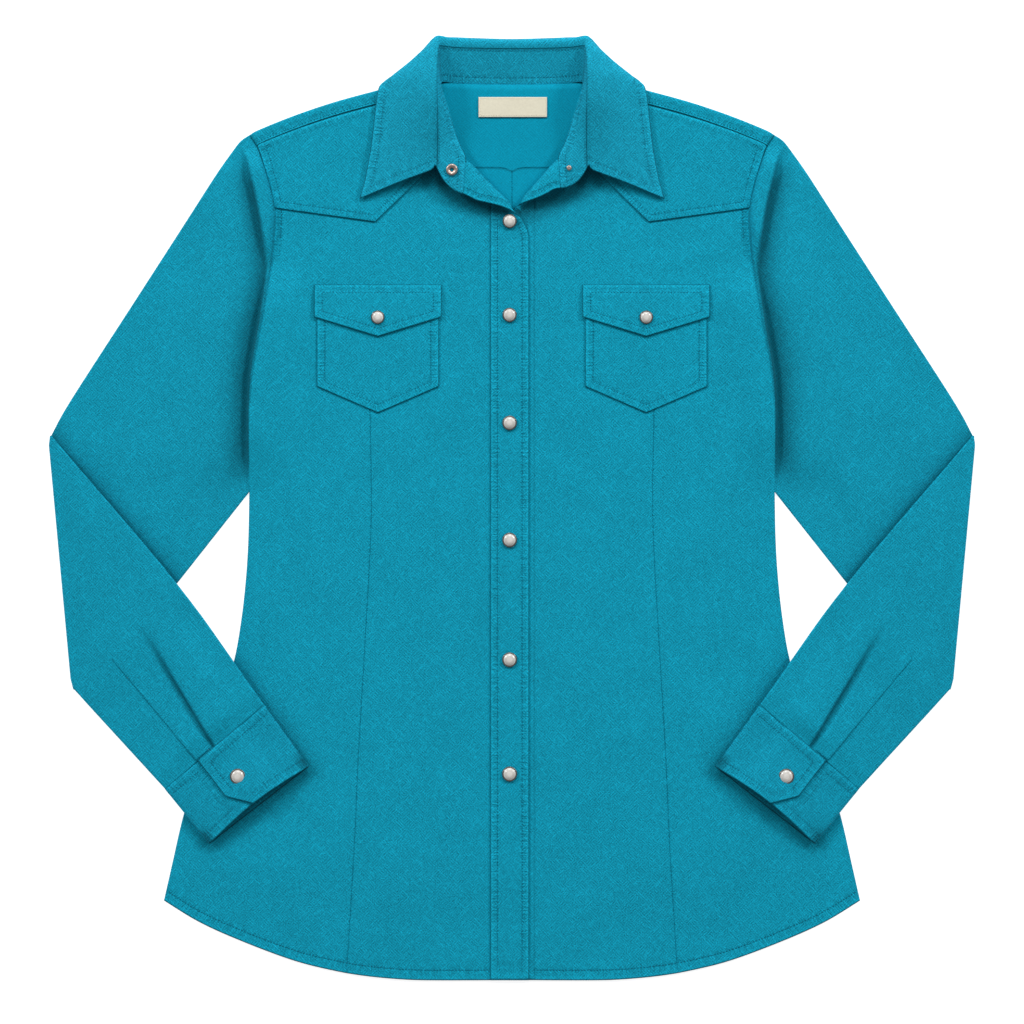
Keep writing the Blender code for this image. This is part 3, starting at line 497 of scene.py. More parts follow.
ARMHOLE_LINE, SIDE_LINE, HEM_LINE = Line(ARMHOLE), Line(SIDE_SEAM), Line(HEM)
back_outer = ARMHOLE_LINE.part(ARMHOLE_LINE.share_of(y=266.7), 1.0, 60).joined(SIDE_LINE)
back_top = Line(YOKE_SEAM).moved(0, 0.4)
back_outer = Line([back_top.at(1)] + back_outer.points[1:], smooth=False)
back_middle = Line((tuple(back_top.at(0)), (0.0, HEM[0][1])), smooth=False)
back_across = spaced(200, 8, EDGE_CELLS)
HEM_TURN = 8.2  # from the edge to the hem's stitches
PLAIN_SEAM = 4.0  # how far a seam without stitches draws the cloth
HEM_CELLS = (0.0, 0.8, 2.4, 5.0, 7.2, HEM_TURN, 9.2, 13.0, 18.0)
back_down = spaced(650, 8, EDGE_CELLS, HEM_CELLS)
for side, hand in HANDS:
    rows = laid(patch(back_top, HEM_LINE, back_middle, back_outer, back_across, back_down), back_z, side)
    for row in rows:
        row[0].x = 0.0
    seams = [(edge_of(rows, 0), PLAIN_SEAM, "plain"), (rows[-1], HEM_TURN)]
    # painted shade along the top two rows, at the seam with the yoke, and lighter painted shade down the
    # centre back seam
    piece = cloth(
        "cloth_back_" + hand, rows, INSIDE_TWILL, seams=seams, pressed=0.6,
        painted_shade=lambda r, c: 0.7 if r < 2 else 0.3 * (c < 1),
    )
    cut_from(piece, rows)

# ==================================================================== front panels
# Each front is one panel, shaped by a long seam that runs from under the pocket to the hem. The hem
# is turned up 8 mm and stitched. The cloth lies almost flat, in a few soft drapes.
FRONT_NECK = ((56.0, 336.5), (49.5, 317.0), (42.2, 291.5), (35.5, 277.5))
RIGHT_NECK_END = ((28.8, 270.6), (14.3, 256.0), (11.2, 253.0))
LEFT_NECK_END = ((31.6, 269.5), (24.0, 258.4), (18.1, 250.4), (17.5, 244.0))
SHOULDER = Line((
    (58.0, 348.0), (102.4, 336.4), (138.4, 326.8), (163.6, 318.8), (185.2, 310.8), (204.4, 302.8),
    (210.0, 299.4),
))
SHAPING_SEAM = (
    (113.6, 200.0), (113.6, 77.0), (112.8, -9.0), (117.6, -105.0), (123.2, -201.0), (126.4, -273.0),
    (132.5, -372.2),
)
FRONT_DRAPES = (
    # from x, y, to x, y, width, height
    (186.0, 214.0, 120.0, 196.0, 7.0, 0.5), (196.0, 160.0, 168.0, 96.0, 9.0, 0.6),
    (-190.0, 190.0, -158.0, 120.0, 9.0, 0.55), (176.0, 52.0, 150.0, -60.0, 13.0, 0.7),
    (-180.0, 40.0, -146.0, -80.0, 12.0, 0.7), (60.0, -60.0, 52.0, -220.0, 14.0, 0.5),
    (-64.0, -20.0, -54.0, -190.0, 12.0, 0.5), (196.0, -230.0, 160.0, -330.0, 13.0, 0.7),
    (-200.0, -250.0, -170.0, -345.0, 12.0, 0.6), (30.0, 40.0, 90.0, -10.0, 9.0, 0.35),
    (-26.0, 120.0, -70.0, 60.0, 9.0, 0.35), (150.0, -160.0, 205.0, -190.0, 8.0, 0.4),
    (40.0, -300.0, 78.0, -352.0, 9.0, 0.4), (-90.0, -290.0, -62.0, -356.0, 10.0, 0.4),
)


def drapes(table, x, y):
    """The rise of the listed soft folds at a place."""
    rise = 0.0
    for ax, ay, bx, by, wide, high in table:
        dx, dy = bx - ax, by - ay
        long = math.hypot(dx, dy)
        along = ((x - ax) * dx + (y - ay) * dy) / long ** 2
        off = ((x - ax) * dy - (y - ay) * dx) / long
        if -0.2 < along < 1.2 and abs(off) < 3 * wide:
            ends = ease((along + 0.2) / 0.5) * ease((1.2 - along) / 0.5)
            rise += high * math.exp(-(off / wide) ** 2) * ends
    return rise


FRONT_LEVEL = 1.9  # middle of the front cloth, above what lifts it


def armhole_roll(y):
    """How far the front's edge stands above the sleeve, from halfway down the armhole to the armpit."""
    return 6.0 * ease((204 - y) / 46) * ease((y - 8) / 60)


def front_air(x, y):
    inside = side_at(y) - abs(x)
    middle = ease(inside / 110) * ease((y - height_at(HEM, abs(x))) / 110) * ease((262 - y) / 110)
    waves = 1 + 0.16 * math.sin(x / 48 + y / 150)
    return 2.0 * middle * waves + armhole_roll(y) * (1 - ease((inside - 4) / 44))


def front_z(x, y):
    """Middle of the front panel's cloth. What is sewn on the front lies on this."""
    inside = min(side_at(y) - abs(x), y - height_at(HEM, abs(x)))
    loose = ease(inside / 40)
    soft = 1.5 * drapes(FRONT_DRAPES, x, y) + 0.25 * drift(x, y, 34)
    return fall_lift(x, y) + front_air(x, y) + FRONT_LEVEL + soft * loose


def shoulder_points(count):
    """Points on the shoulder fold, each with the direction out of the shirt."""
    for share in (i / count for i in range(count + 1)):
        run = (SHOULDER.at(min(1.0, share + 0.03)) - SHOULDER.at(max(0.0, share - 0.03))).normalized()
        yield SHOULDER.at(share), Vector((-run.y, run.x))


def bead(bm, place, run, long, thick):
    """One stitch: a short bead of thread along its row."""
    turn = run.to_track_quat("X", "Z").to_matrix().to_4x4()
    shape = Matrix.Translation(place) @ turn @ Matrix.Diagonal((long / 2, thick / 2, thick / 2, 1))
    bmesh.ops.create_icosphere(bm, subdivisions=1, radius=1.0, matrix=shape)


def thread(name, lines, finish, pitch=2.5, long=1.5, thick=0.62, lift=CLOTH / 2):
    """Stitched rows along lines on the cloth, all in one piece."""
    bm = bmesh.new()
    for line in lines:
        row = Line(line, smooth=False)
        count = int(row.length / pitch)
        for i in range(count):
            a, b = row.at((i + 0.1) / count), row.at((i + 0.9) / count)
            if (b - a).length > 0.3:
                bead(bm, (a + b) / 2 + Vector((0, 0, lift)), b - a, long, thick)
    bmesh.ops.scale(bm, vec=(MM, MM, MM), verts=bm.verts)
    obj = object_from(bm, name, finish)
    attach(obj, "root")


def sewing_thread():
    """Matching polyester thread, a little darker than the cloth, with a twist."""
    finish, tree, shader = material("sewing_thread")
    twist = mottled(tree, wire(tree, "ShaderNodeTexCoord", {})["Object"], 1400.0, 2.0)
    feed(tree, shader, {
        "Base Color": blend(tree, twist, (0.0025, 0.105, 0.17), (0.005, 0.155, 0.24)),
        "Normal": relief(tree, twist, 0.4, 0.0002), "Roughness": 0.7, "Specular IOR Level": 0.08,
    })
    return finish


THREAD = sewing_thread()
SHAPING_CELLS = (0.0, 0.5, 1.2, 2.8, 5.6)

front_top = [p - n * 5.0 for p, n in shoulder_points(20)]
front_top[0] = Vector(FRONT_NECK[0])
front_top = Line(front_top, smooth=False)
split = front_top.share_of(x=112.0)
shaping = Line(((front_top.at(split)), *SHAPING_SEAM))
front_outer = ARMHOLE_LINE.part(0.018, 1.0, 60).joined(SIDE_LINE)
front_down = spaced(690, 4.6, (0, 3), HEM_CELLS)


def at_run(points, away):
    """The place on a line of points a distance from its start."""
    for a, b in zip(points, points[1:]):
        step = (b - a).length
        if away <= step:
            return a.lerp(b, away / step)
        away -= step
    return points[-1]


def beside(rows, edge, away, trim=(0.0, 0.0), count=150):
    """A line on a piece, a distance in from its first or last row or from the start or end of its rows."""
    lines = {
        "start": rows, "end": [row[::-1] for row in rows],
        "first": list(zip(*rows)), "last": list(zip(*rows[::-1])),
    }[edge]
    line = Line([at_run(list(points), away) for points in lines], smooth=False)
    start, end = trim[0] / line.length, 1 - trim[1] / line.length
    return [line.at(mix(start, end, i / count)) for i in range(count + 1)]


# lines along which painted shadow falls on the front: the lower edges of the collar and turned plackets, and
# the outline of the forearm and cuff
UNDER_COLLAR = ((92.0, 259.0), (60.0, 270.0), (55.0, 260.0), (40.0, 250.5), (20.0, 242.0), (0.0, 237.5))
UNDER_CUFF = ((232.0, -110.0), (198.4, -157.6), (162.8, -206.8), (241.6, -268.0))


def near_edge(place, line, reach):
    """How close a place is to a line, 1 on it and fading over a distance."""
    near = FAR_FROM_SEAM
    for a, b in zip(line, line[1:]):
        a, run = Vector(a), Vector(b) - Vector(a)
        share = min(1.0, max(0.0, (place - a).dot(run) / run.length_squared))
        near = min(near, (place - a - run * share).length)
    return math.exp(-(near / reach) ** 2)


def on_left(x, y):
    """A place, or its mirror image on the left side."""
    return Vector((abs(x), y))


def painted_shadow_on_front(p):
    """Painted shadow on the front: under the collar and the turned-back plackets, and under the cuffs."""
    place = on_left(p.x, p.y)
    if place.y < 0:
        return 0.5 * near_edge(place, UNDER_CUFF, 9.0)
    return 1.1 * near_edge(place, UNDER_COLLAR, 9.5) * ease((96 - place.x) / 30)


for (side, hand), neck_end, edge in zip(HANDS, (LEFT_NECK_END, RIGHT_NECK_END), (17.5, 11.2)):
    neck = Line(FRONT_NECK + neck_end)
    middle = neck.joined(Line((neck_end[-1], (edge, 225.0), (edge, height_at(HEM, edge))), smooth=False))
    foot = HEM_LINE.share_of(x=SHAPING_SEAM[-1][0])
    inner_hem, outer_hem = HEM_LINE.part(HEM_LINE.share_of(x=edge), foot), HEM_LINE.part(foot, 1)
    inner_cells = spaced(96, 4.2, (0, 2), SHAPING_CELLS)
    outer_cells = spaced(110, 4.2, SHAPING_CELLS, EDGE_CELLS)
    inner = patch(front_top.part(0, split), inner_hem, middle, shaping, inner_cells, front_down)
    outer = patch(front_top.part(split, 1), outer_hem, shaping, front_outer, outer_cells, front_down)
    rows = laid([a + b[1:] for a, b in zip(inner, outer)], front_z, side)
    fold = len(inner[0]) - 1
    start = next(r for r, row in enumerate(rows) if row[fold].y < 96)
    shaped = [row[fold] for row in rows[start:]]
    for row in rows[start:]:
        for beside_it, rise in ((0, -0.55), (-2, 0.10), (1, 0.12), (2, 0.20)):
            row[fold + beside_it].z += rise
    armhole = [row[-1] for row in rows if row[-1].y > 200]
    last_cell = len(rows[0]) - 1
    seams = [(rows[-1], HEM_TURN), (shaped, PLAIN_SEAM, "plain"), (armhole, STITCH_IN)]
    # painted shadow under the collar, plackets and cuffs, and painted shade along the outer edge from 60 mm
    # up
    piece = cloth(
        "cloth_front_" + hand, rows, BODY_TWILL, seams=seams, pressed=0.8,
        painted_shade=lambda r, c: max(painted_shadow_on_front(rows[r][c]), 0.35 * (c == last_cell and rows[r][c].y > 60)),
    )
    cut_from(piece, rows)
    sewn = [beside(rows, "last", HEM_TURN, (2, 2), 220)]
    sewn.append([p for p in beside(rows, "end", STITCH_IN, (3, 0), 260) if p.y > 214])
    thread("hem_stitches_front_" + hand, sewn, THREAD, thick=0.85, lift=0.5)

# ==================================================================== back yoke
# One piece across the back of the shoulders. It folds over them and is stitched down along the front,
# over the top edges of the front panels and front yokes.
STRIP = 10.7
FOLD_RADIUS, FOLD_RISE = 1.3, 1.8

neck_line, yoke_seam = Line(((0.0, 339.4), (30.0, 339.8), (56.5, 341.0))), Line(YOKE_SEAM)
up_cells = spaced(66, 5, EDGE_CELLS)
strip_cells = spaced(STRIP - FOLD_RISE, 1.8, (0,), (0, 0.8, 1.6, 2.4, 3.6))[1:]
strip_cells = [mix(FOLD_RISE, STRIP, s) for s in strip_cells]
half = []
for share in spaced(56.5, 5):
    top = neck_line.at(share)
    low = yoke_seam.at(yoke_seam.share_of(x=top.x) if share else 0)
    half.append([(low.lerp(top, v), -FOLD_RADIUS) for v in up_cells])
neck_columns = len(half)
for i, (point, out) in enumerate(shoulder_points(60)):
    if not i:
        continue
    inner = point - out * FOLD_RISE
    low = yoke_seam.at(0.285 + 0.715 * (point.x - 58) / 152)
    column = [(low.lerp(inner, v), -FOLD_RADIUS) for v in up_cells]
    for step in range(8):
        turn = math.pi * step / 7 - math.pi / 2
        column.append((inner + out * FOLD_RADIUS * math.cos(turn), FOLD_RADIUS * math.sin(turn)))
    half.append(column + [(point - out * away, FOLD_RADIUS) for away in strip_cells])
deep = max(len(column) for column in half)
columns = []
for side in (-1, 1):
    wing = []
    for column in half:
        line = [Vector((side * p.x, p.y, fall_lift(p.x, p.y) + FOLD_RISE + rise)) for p, rise in column]
        wing.append(line + [line[-1] + Vector((0, i + 1, 0)) for i in range(deep - len(line))])
    columns += wing[:0:-1] if side < 0 else wing
rows = [[column[r] for column in columns] for r in range(deep)]
open_from, open_to = len(half) - 1 - neck_columns, len(half) - 2 + neck_columns
strip_edges = [[p for p in rows[-1] if p.x < -57], [p for p in rows[-1] if p.x > 57]]
back_rows = len(up_cells) - 1
# painted shade along the yoke's seam with the back panels
piece = cloth(
    "cloth_back_yoke", rows, INSIDE_TWILL, seams=[(edge, 5.0) for edge in strip_edges], pressed=0.7,
    keep=lambda r, c: r < back_rows or not open_from <= c <= open_to, painted_shade=lambda r, c: 0.7 * (r < 1),
)
piece.data.materials.append(BODY_TWILL)
for face in piece.data.polygons:
    if face.center.z > 0.0022 + fall_lift(face.center.x / MM, face.center.y / MM) * MM:
        face.material_index = 1
cut_from(piece, rows)
sewn = [p for p in beside(rows, "last", 1.9, (2, 2), 260) if abs(p.x) > 59]
thread("shoulder_stitches", [[p for p in sewn if p.x < 0], [p for p in sewn if p.x > 0]], THREAD)

# ==================================================================== front yokes
# A pointed yoke lies on each front and is held by two rows of stitches along its lower edge.
YOKE_OVER_FRONT = 1.15


def front_yoke_z(x, y):
    return front_z(x, y) + YOKE_OVER_FRONT


yoke_top = Line([p - n * 11.75 for p, n in shoulder_points(40)], smooth=False).part(0.012, 0.985, 40)
yoke_end = ARMHOLE_LINE.part(ARMHOLE_LINE.share_of(y=yoke_top.at(1).y), ARMHOLE_LINE.share_of(y=240.8), 30)
yoke_neck = Line((tuple(yoke_top.at(0)), (51.5, 313.0), (46.0, 291.0)))
YOKE_POINT = (109.4, 229.5)
yoke_hem = Line((tuple(yoke_neck.at(1)), YOKE_POINT, tuple(yoke_end.at(1))), smooth=False)
point = yoke_hem.share_of(y=YOKE_POINT[1])
yoke_across = [point * s for s in spaced(88, 4, (0, 1.5, 4))]
yoke_across += [mix(point, 1, s) for s in spaced(84, 4, (0,), EDGE_CELLS)][1:]
yoke_down = spaced(70, 4, (0, 1.5, 4), EDGE_CELLS)
for side, hand in HANDS:
    rows = laid(patch(yoke_top, yoke_hem, yoke_neck, yoke_end, yoke_across, yoke_down), front_yoke_z, side)
    last_cell = len(rows[0]) - 1
    seams = [(rows[-1], 5.6), (edge_of(rows, -1), STITCH_IN), (rows[0], 5.0)]
    # painted shadow under the collar, and painted shade along the armhole edge
    piece = cloth(
        "cloth_front_yoke_" + hand, rows, BODY_TWILL, seams=seams,
        painted_shade=lambda r, c: max(painted_shadow_on_front(rows[r][c]), 0.35 * (c == last_cell)),
    )
    cut_from(piece, rows)
    thread("yoke_stitches_front_yoke_" + hand, [
        beside(rows, "last", 1.6, (1, 1), 200), beside(rows, "last", 5.8, (1, 6), 200),
        beside(rows, "end", STITCH_IN, (1, 6), 80),
    ], THREAD)

# ==================================================================== front plackets
# A stitched band down each front edge, the wearer's right one over the left one. Above the first snap
# they roll open to the sides, up to the neckband.
RIGHT_TURN = (
    # seam x, y, up, crest x, y, up, free x, y, up
    (-17.2, 218.0, 1.1, -1.8, 218.0, 1.1, 13.6, 218.0, 1.1),
    (-17.2, 226.5, 1.1, -1.0, 228.5, 1.2, 11.0, 226.6, 1.5),
    (-17.2, 235.0, 1.2, -1.4, 237.6, 2.2, 6.6, 233.6, 3.2),
    (-17.2, 238.6, 1.4, -1.2, 241.2, 3.0, 2.6, 236.0, 4.8),
    (-17.2, 242.4, 1.4, -2.2, 245.0, 3.8, -1.6, 238.8, 6.4),
    (-17.2, 248.5, 1.4, -8.4, 251.2, 4.4, -9.6, 241.9, 7.8),
    (-18.2, 254.6, 1.4, -15.6, 258.2, 4.8, -19.6, 244.4, 8.8),
    (-23.0, 260.8, 2.0, -23.2, 265.9, 5.2, -28.4, 246.4, 9.4),
    (-29.6, 268.6, 2.8, -30.2, 273.2, 5.8, -34.0, 249.2, 9.8),
    (-36.8, 274.0, 4.2, -37.1, 279.0, 6.5, -39.0, 251.6, 9.6),
)
LEFT_TURN = (
    (17.5, 218.0, 0.0, 3.5, 218.0, 0.0, -10.2, 218.0, 0.0),
    (17.5, 226.5, 0.0, 4.6, 228.0, 0.0, -6.0, 230.5, 0.0),
    (17.5, 233.5, 0.0, 6.4, 237.6, 0.3, 1.2, 240.2, 0.7),
    (17.5, 241.5, 0.0, 8.4, 247.6, 2.8, 9.6, 244.7, 5.2),
    (17.5, 249.0, 0.0, 14.6, 255.2, 4.2, 18.6, 247.9, 7.4),
    (20.0, 256.4, 0.6, 21.6, 263.0, 4.8, 26.6, 251.2, 8.6),
    (29.0, 268.0, 2.6, 30.0, 272.6, 5.6, 33.4, 255.0, 9.6),
    (36.8, 274.2, 4.0, 37.1, 279.2, 6.4, 38.8, 256.0, 9.6),
)
PLACKET_STITCH, FOOT_STITCH = 5.5, 14.0
PLACKET_CELLS = (0, 0.8, 2.0, 3.6, 4.8, PLACKET_STITCH, 6.2, 8.0, 11.0)
NECK_LEVEL = 250.0  # above it the turned plackets keep the height of the front there


def placket_rows(turn):
    """Flat from the hem to the first row of the turn, then through its rows."""
    seam_x, turn_y, low, free_x = turn[0][0], turn[0][1], turn[0][2], turn[0][6]
    hem_y = HEM[0][1]
    across = spaced(abs(free_x - seam_x), 3, PLACKET_CELLS, PLACKET_CELLS)

    def point(x, y, up):
        return Vector((x, y, front_z(x, min(y, NECK_LEVEL)) + up))

    rows = []
    for v in spaced(turn_y - hem_y, 3.4, HEM_CELLS)[:-1]:
        y = mix(hem_y, turn_y, v)
        rows.append([point(mix(seam_x, free_x, u), y, low) for u in across])
    steps = 5 * (len(turn) - 1)
    for i in range(steps + 1):
        seam, crest, free = (catmull([Vector(row[k:k + 3]) for row in turn], i / steps) for k in (0, 3, 6))
        line = [seam, seam.lerp(crest, 0.5), seam.lerp(crest, 0.85), crest]
        line += [crest.lerp(free, 0.14), crest.lerp(free, 0.5), free]
        ups = [seam.z, mix(seam.z, crest.z, 0.15), mix(seam.z, crest.z, 0.6), crest.z]
        ups += [mix(crest.z, free.z, 0.75), free.z, free.z]
        bent = Line([point(p.x, p.y, up) for p, up in zip(line, ups)], smooth=i > 0)
        rows.append([bent.at(u) for u in across])
    return rows


def placket_painted_shadow(p, low):
    """Painted shadow under the collar, up to where the placket turns back."""
    turned = p.z - front_z(p.x, min(p.y, NECK_LEVEL)) - low
    return painted_shadow_on_front(p) * (1 - ease((turned - 0.3) / 1.5)) if p.y > 200 else 0.0


PLACKETS = (("placket_left", LEFT_TURN, "front_left"), ("placket_right", RIGHT_TURN, "placket_left"))
for name, turn, below in PLACKETS:
    rows = placket_rows(turn)
    seams = [(edge_of(rows, -1), PLACKET_STITCH), (rows[0], FOOT_STITCH)]
    if turn is RIGHT_TURN:
        seams.append((edge_of(rows, 0), PLACKET_STITCH))
    piece = cloth(
        "cloth_" + name, rows, BODY_TWILL, seams=seams,
        painted_shade=lambda r, c: placket_painted_shadow(rows[r][c], turn[0][2]),
    )
    cut_from(piece, rows)
    sewn = [beside(rows, edge, PLACKET_STITCH, (1, 2), 330) for edge in ("start", "end")]
    thread("placket_stitches_" + name, sewn, THREAD)

# ==================================================================== collar stand and collar
# A stiffened band stands round the neck. The pointed collar is sewn to its top, rolls over and falls
# on the shoulders, stitched round its edge. Behind the neck it lies folded under the yoke.
COLLAR_TWILL = teal_twill("collar_twill", (0.0062, 0.266, 0.396))
STATIONS = (
    # neck x, y, z, seam x, y, z, crest x, y, z,
    # shoulder x, y, z, fall x, y, z, edge x, y, z
    (0.0, 338.8, 2.0, 0.0, 367.6, 6.7, 0.0, 373.6, 7.2,
     0.0, 375.2, 3.9, 0.0, 372.6, 0.0, 0.0, 331.0, 0.0),
    (24.0, 339.2, 2.0, 26.0, 367.8, 6.8, 27.0, 374.2, 7.3,
     28.0, 375.8, 4.0, 30.0, 373.0, 0.0, 38.0, 331.2, 0.0),
    (42.0, 339.9, 2.3, 45.0, 368.4, 7.2, 47.0, 375.2, 7.8,
     49.0, 377.2, 4.2, 51.5, 373.2, 0.0, 70.0, 331.8, 0.0),
    (54.6, 341.2, 3.8, 56.2, 369.5, 8.7, 58.2, 376.7, 9.4,
     60.6, 378.2, 5.2, 66.0, 370.6, 0.3, 88.0, 332.6, 0.0),
    (56.2, 340.2, 5.6, 58.2, 368.2, 12.4, 61.4, 373.0, 13.2,
     66.8, 371.9, 8.0, 79.0, 359.4, 2.6, 98.0, 339.4, 0.0),
    (56.2, 336.2, 7.0, 59.3, 359.0, 16.6, 62.2, 362.6, 18.0,
     71.0, 363.2, 13.4, 86.2, 353.8, 7.4, 104.0, 340.8, 3.8),
    (54.4, 330.0, 7.2, 59.6, 345.5, 20.6, 62.8, 346.6, 22.4,
     72.4, 345.6, 18.6, 88.0, 343.6, 12.2, 107.4, 333.6, 8.0),
    (50.4, 317.5, 7.2, 59.6, 327.5, 21.4, 62.8, 327.6, 23.2,
     72.4, 325.6, 19.4, 87.8, 321.4, 13.0, 110.2, 312.5, 7.8),
    (45.6, 302.0, 7.4, 59.6, 310.5, 17.8, 62.8, 310.2, 19.6,
     72.4, 307.0, 16.8, 88.4, 301.6, 11.8, 112.6, 291.2, 7.4),
    (41.0, 290.0, 8.4, 59.6, 297.5, 15.2, 62.8, 296.2, 16.6,
     72.8, 292.2, 14.6, 89.4, 286.2, 11.0, 115.2, 276.4, 7.2),
    (36.9, 280.2, 10.4, 59.6, 287.0, 13.4, 62.8, 285.4, 14.4,
     73.4, 281.0, 13.0, 90.6, 273.8, 10.2, 117.8, 263.0, 6.9),
    (37.6, 266.0, 11.6, 59.8, 279.0, 13.0, 63.2, 277.6, 13.8,
     73.8, 273.8, 12.4, 91.4, 267.0, 10.0, 119.9, 255.6, 6.7),
    (38.8, 251.0, 12.0, 60.0, 272.4, 12.6, 63.6, 270.8, 13.4,
     74.0, 266.8, 12.0, 92.0, 260.2, 9.8, 122.0, 247.8, 6.5),
)
BAND_STEPS = 192  # round the neck, eight for each stretch between stations
BAND_ENDS = 36  # the band opens at its ends, over a thirty-sixth of its length
HALF_BAND, BAND_WALL = 0.7, 1.2  # half the collar's thickness, and that of its finished cloth
COLLAR_STITCH, COLLAR_END_STITCH = 7.0, 6.6


def neck_band(columns, across):
    """A band through the stations, smooth both ways. Its middle is half its thickness inside the face
    that shows."""
    lines = [[column[k] for column in columns] for k in range(len(columns[0]))]
    lines = [[Vector((-p.x, p.y, p.z)) for p in line[:0:-1]] + line for line in lines]
    rows = []
    for i in range(BAND_STEPS + 1):
        row = Line([catmull(line, i / BAND_STEPS) for line in lines])
        rows.append([row.at(u) for u in across])
    middle = []
    for r, row in enumerate(rows):
        before, after = rows[max(0, r - 2)], rows[min(BAND_STEPS, r + 2)]
        line = []
        for c, p in enumerate(row):
            over = row[min(len(row) - 1, c + 1)] - row[max(0, c - 1)]
            inner = p - (after[c] - before[c]).cross(over).normalized() * HALF_BAND
            inner.z = max(inner.z, HALF_BAND)
            line.append(inner)
        middle.append(line)
    return middle


stations = [[Vector(station[k:k + 3]) for k in range(0, 18, 3)] for station in STATIONS]
stand_cells = spaced(28, 3, (0, 0.8, 2.2, 4.4, 5.4, 6.0, 6.8, 8.6), (0, 0.8, 1.6, 3.0))
stand_rows = neck_band([station[:2] for station in stations], stand_cells)
for r, row in enumerate(stand_rows):
    from_right, from_left = r * BAND_ENDS / BAND_STEPS, (BAND_STEPS - r) * BAND_ENDS / BAND_STEPS
    for side, away in ((-1, from_right), (1, from_left)):
        for c, u in enumerate(stand_cells):
            row[c] += Vector((side * 0.6, -1.0, 0)) * 3.4 * math.sin(math.pi * u) * max(0.0, 1 - away)
            if side > 0:
                row[c].y += 4.4 * (1 - u) * max(0.0, 1 - 0.6 * away if away < 1 else 0.4 * (2 - away))
top_cell = len(stand_cells) - 2
stand_seams = [(edge_of(stand_rows, 0), 6.0), (stand_rows[0], 4.0), (stand_rows[-1], 4.0)]


def stand_painted_shade(r, c):
    """Painted shade in both seams, and in the bends at the shoulders."""
    bend = math.exp(-((abs(r - BAND_STEPS / 2) - 32) / 12) ** 2)
    return max(0.75 * (c < 1 or c >= top_cell), 0.4 * bend)


stand = cloth(
    "cloth_collar_stand", stand_rows, COLLAR_TWILL, BAND_WALL, seams=stand_seams, painted_shade=stand_painted_shade,
)
cut_from(stand, stand_rows)

leaf = []
for neck, seam, *rest in stations:
    up = (seam - neck).normalized()
    leaf.append([seam + up * 0.15, seam + up * 3.0, *rest])
leaf_rows = neck_band(leaf, spaced(64, 3, (0, 1.0, 2.2), (0, 0.8, 2.4, 4.8, 6.2, 7.0, 7.8, 10.0)))
leaf_seams = [(edge_of(leaf_rows, -1), COLLAR_STITCH)]
leaf_seams += [(leaf_rows[0], COLLAR_END_STITCH), (leaf_rows[-1], COLLAR_END_STITCH)]
# painted shade along the collar's seam with the stand
collar = cloth(
    "cloth_collar", leaf_rows, COLLAR_TWILL, BAND_WALL, seams=leaf_seams, painted_shade=lambda r, c: 0.55 * (c < 1),
)
cut_from(collar, leaf_rows)
sewn = [beside(leaf_rows, "end", COLLAR_STITCH, (COLLAR_END_STITCH, COLLAR_END_STITCH), 300)]
sewn += [beside(leaf_rows, end, COLLAR_END_STITCH, (1, COLLAR_STITCH), 60) for end in ("first", "last")]
for edge, away, trim in (("start", 1.6, 1), ("start", 6.0, 2), ("end", 1.8, 1)):
    sewn.append(beside(stand_rows, edge, away, (trim, trim), 240))
thread("collar_stitches", sewn, THREAD, lift=0.62)

# ==================================================================== neck label
# A small woven label, cream and left plain, stitched inside the back yoke.
LABEL_WIDE, LABEL_HIGH, LABEL_X, LABEL_Y = 54.8, 16.0, 0.6, 321.4
LABEL_LEVEL = 1.25  # over the middle of the yoke


def woven_label():
    finish, tree, shader = material("woven_label")
    where = wire(tree, "ShaderNodeUVMap", {}, uv_map="cut")[0]
    lines = {"Vector": where, "Scale": 400.0, "Distortion": 0.8}
    weft = wire(tree, "ShaderNodeTexWave", lines, wave_type="BANDS", bands_direction="Y")[1]
    fuzz = sums(tree, "MULTIPLY", mottled(tree, where, 500.0, 3.0), 0.6)
    shade = sums(tree, "MULTIPLY_ADD", weft, 0.4, fuzz)
    feed(tree, shader, {
        "Base Color": blend(tree, shade, (0.64, 0.59, 0.45), (0.84, 0.80, 0.64)),
        "Normal": relief(tree, weft, 0.5, 0.0002), "Roughness": 0.75,
    })
    return finish


LABEL_EDGE = (0, 0.6, 1.6)
label_cells = spaced(LABEL_WIDE, 2.6, LABEL_EDGE, LABEL_EDGE)
label_rows = []
for v in spaced(LABEL_HIGH, 2, LABEL_EDGE, LABEL_EDGE):
    y = LABEL_Y + (v - 0.5) * LABEL_HIGH
    label_rows.append([Vector((LABEL_X + (u - 0.5) * LABEL_WIDE, y, 0)) for u in label_cells])
for row in label_rows:
    for p in row:
        p.z = back_z(p.x, p.y) + LABEL_LEVEL + 0.18 * drift(p.x, p.y, 9)
LABEL_CLOTH = woven_label()
label = cloth("cloth_neck_label", label_rows, LABEL_CLOTH, 0.6)
cut_from(label, label_rows)
sewn = [beside(label_rows, edge, 1.3, (1.3, 1.3), 60) for edge in ("first", "last", "start", "end")]
thread("label_stitches", sewn, LABEL_CLOTH, pitch=2.0, long=1.4, thick=0.4, lift=0.3)

# ==================================================================== pockets and flaps
# A pointed patch pocket on each breast, stitched round. Its flap is sewn to the front above it, and
# lifts a little towards its free edge.
POCKET_X = 107.4
POCKET_HALF, POCKET_TOP, POCKET_CORNER, POCKET_POINT = 48.9, 171.6, 97.8, 76.6
FLAP_HALF, FLAP_TOP, FLAP_CORNER, FLAP_POINT = 51.0, 179.4, 153.4, 137.7
PATCH_STITCH = 6.5
PATCH_CELLS = (0, 0.8, 2.2, 4.4, 5.8, PATCH_STITCH, 7.2, 9.4, 12.6)
POCKET_OVER_FRONT = 1.1


def pocket_z(x, y):
    return front_z(x, y) + POCKET_OVER_FRONT


def flap_z(x, y):
    return pocket_z(x, y) + 1.05 * ease((174.8 - y) / 2.4) + 0.6 * ease((170 - y) / 26)


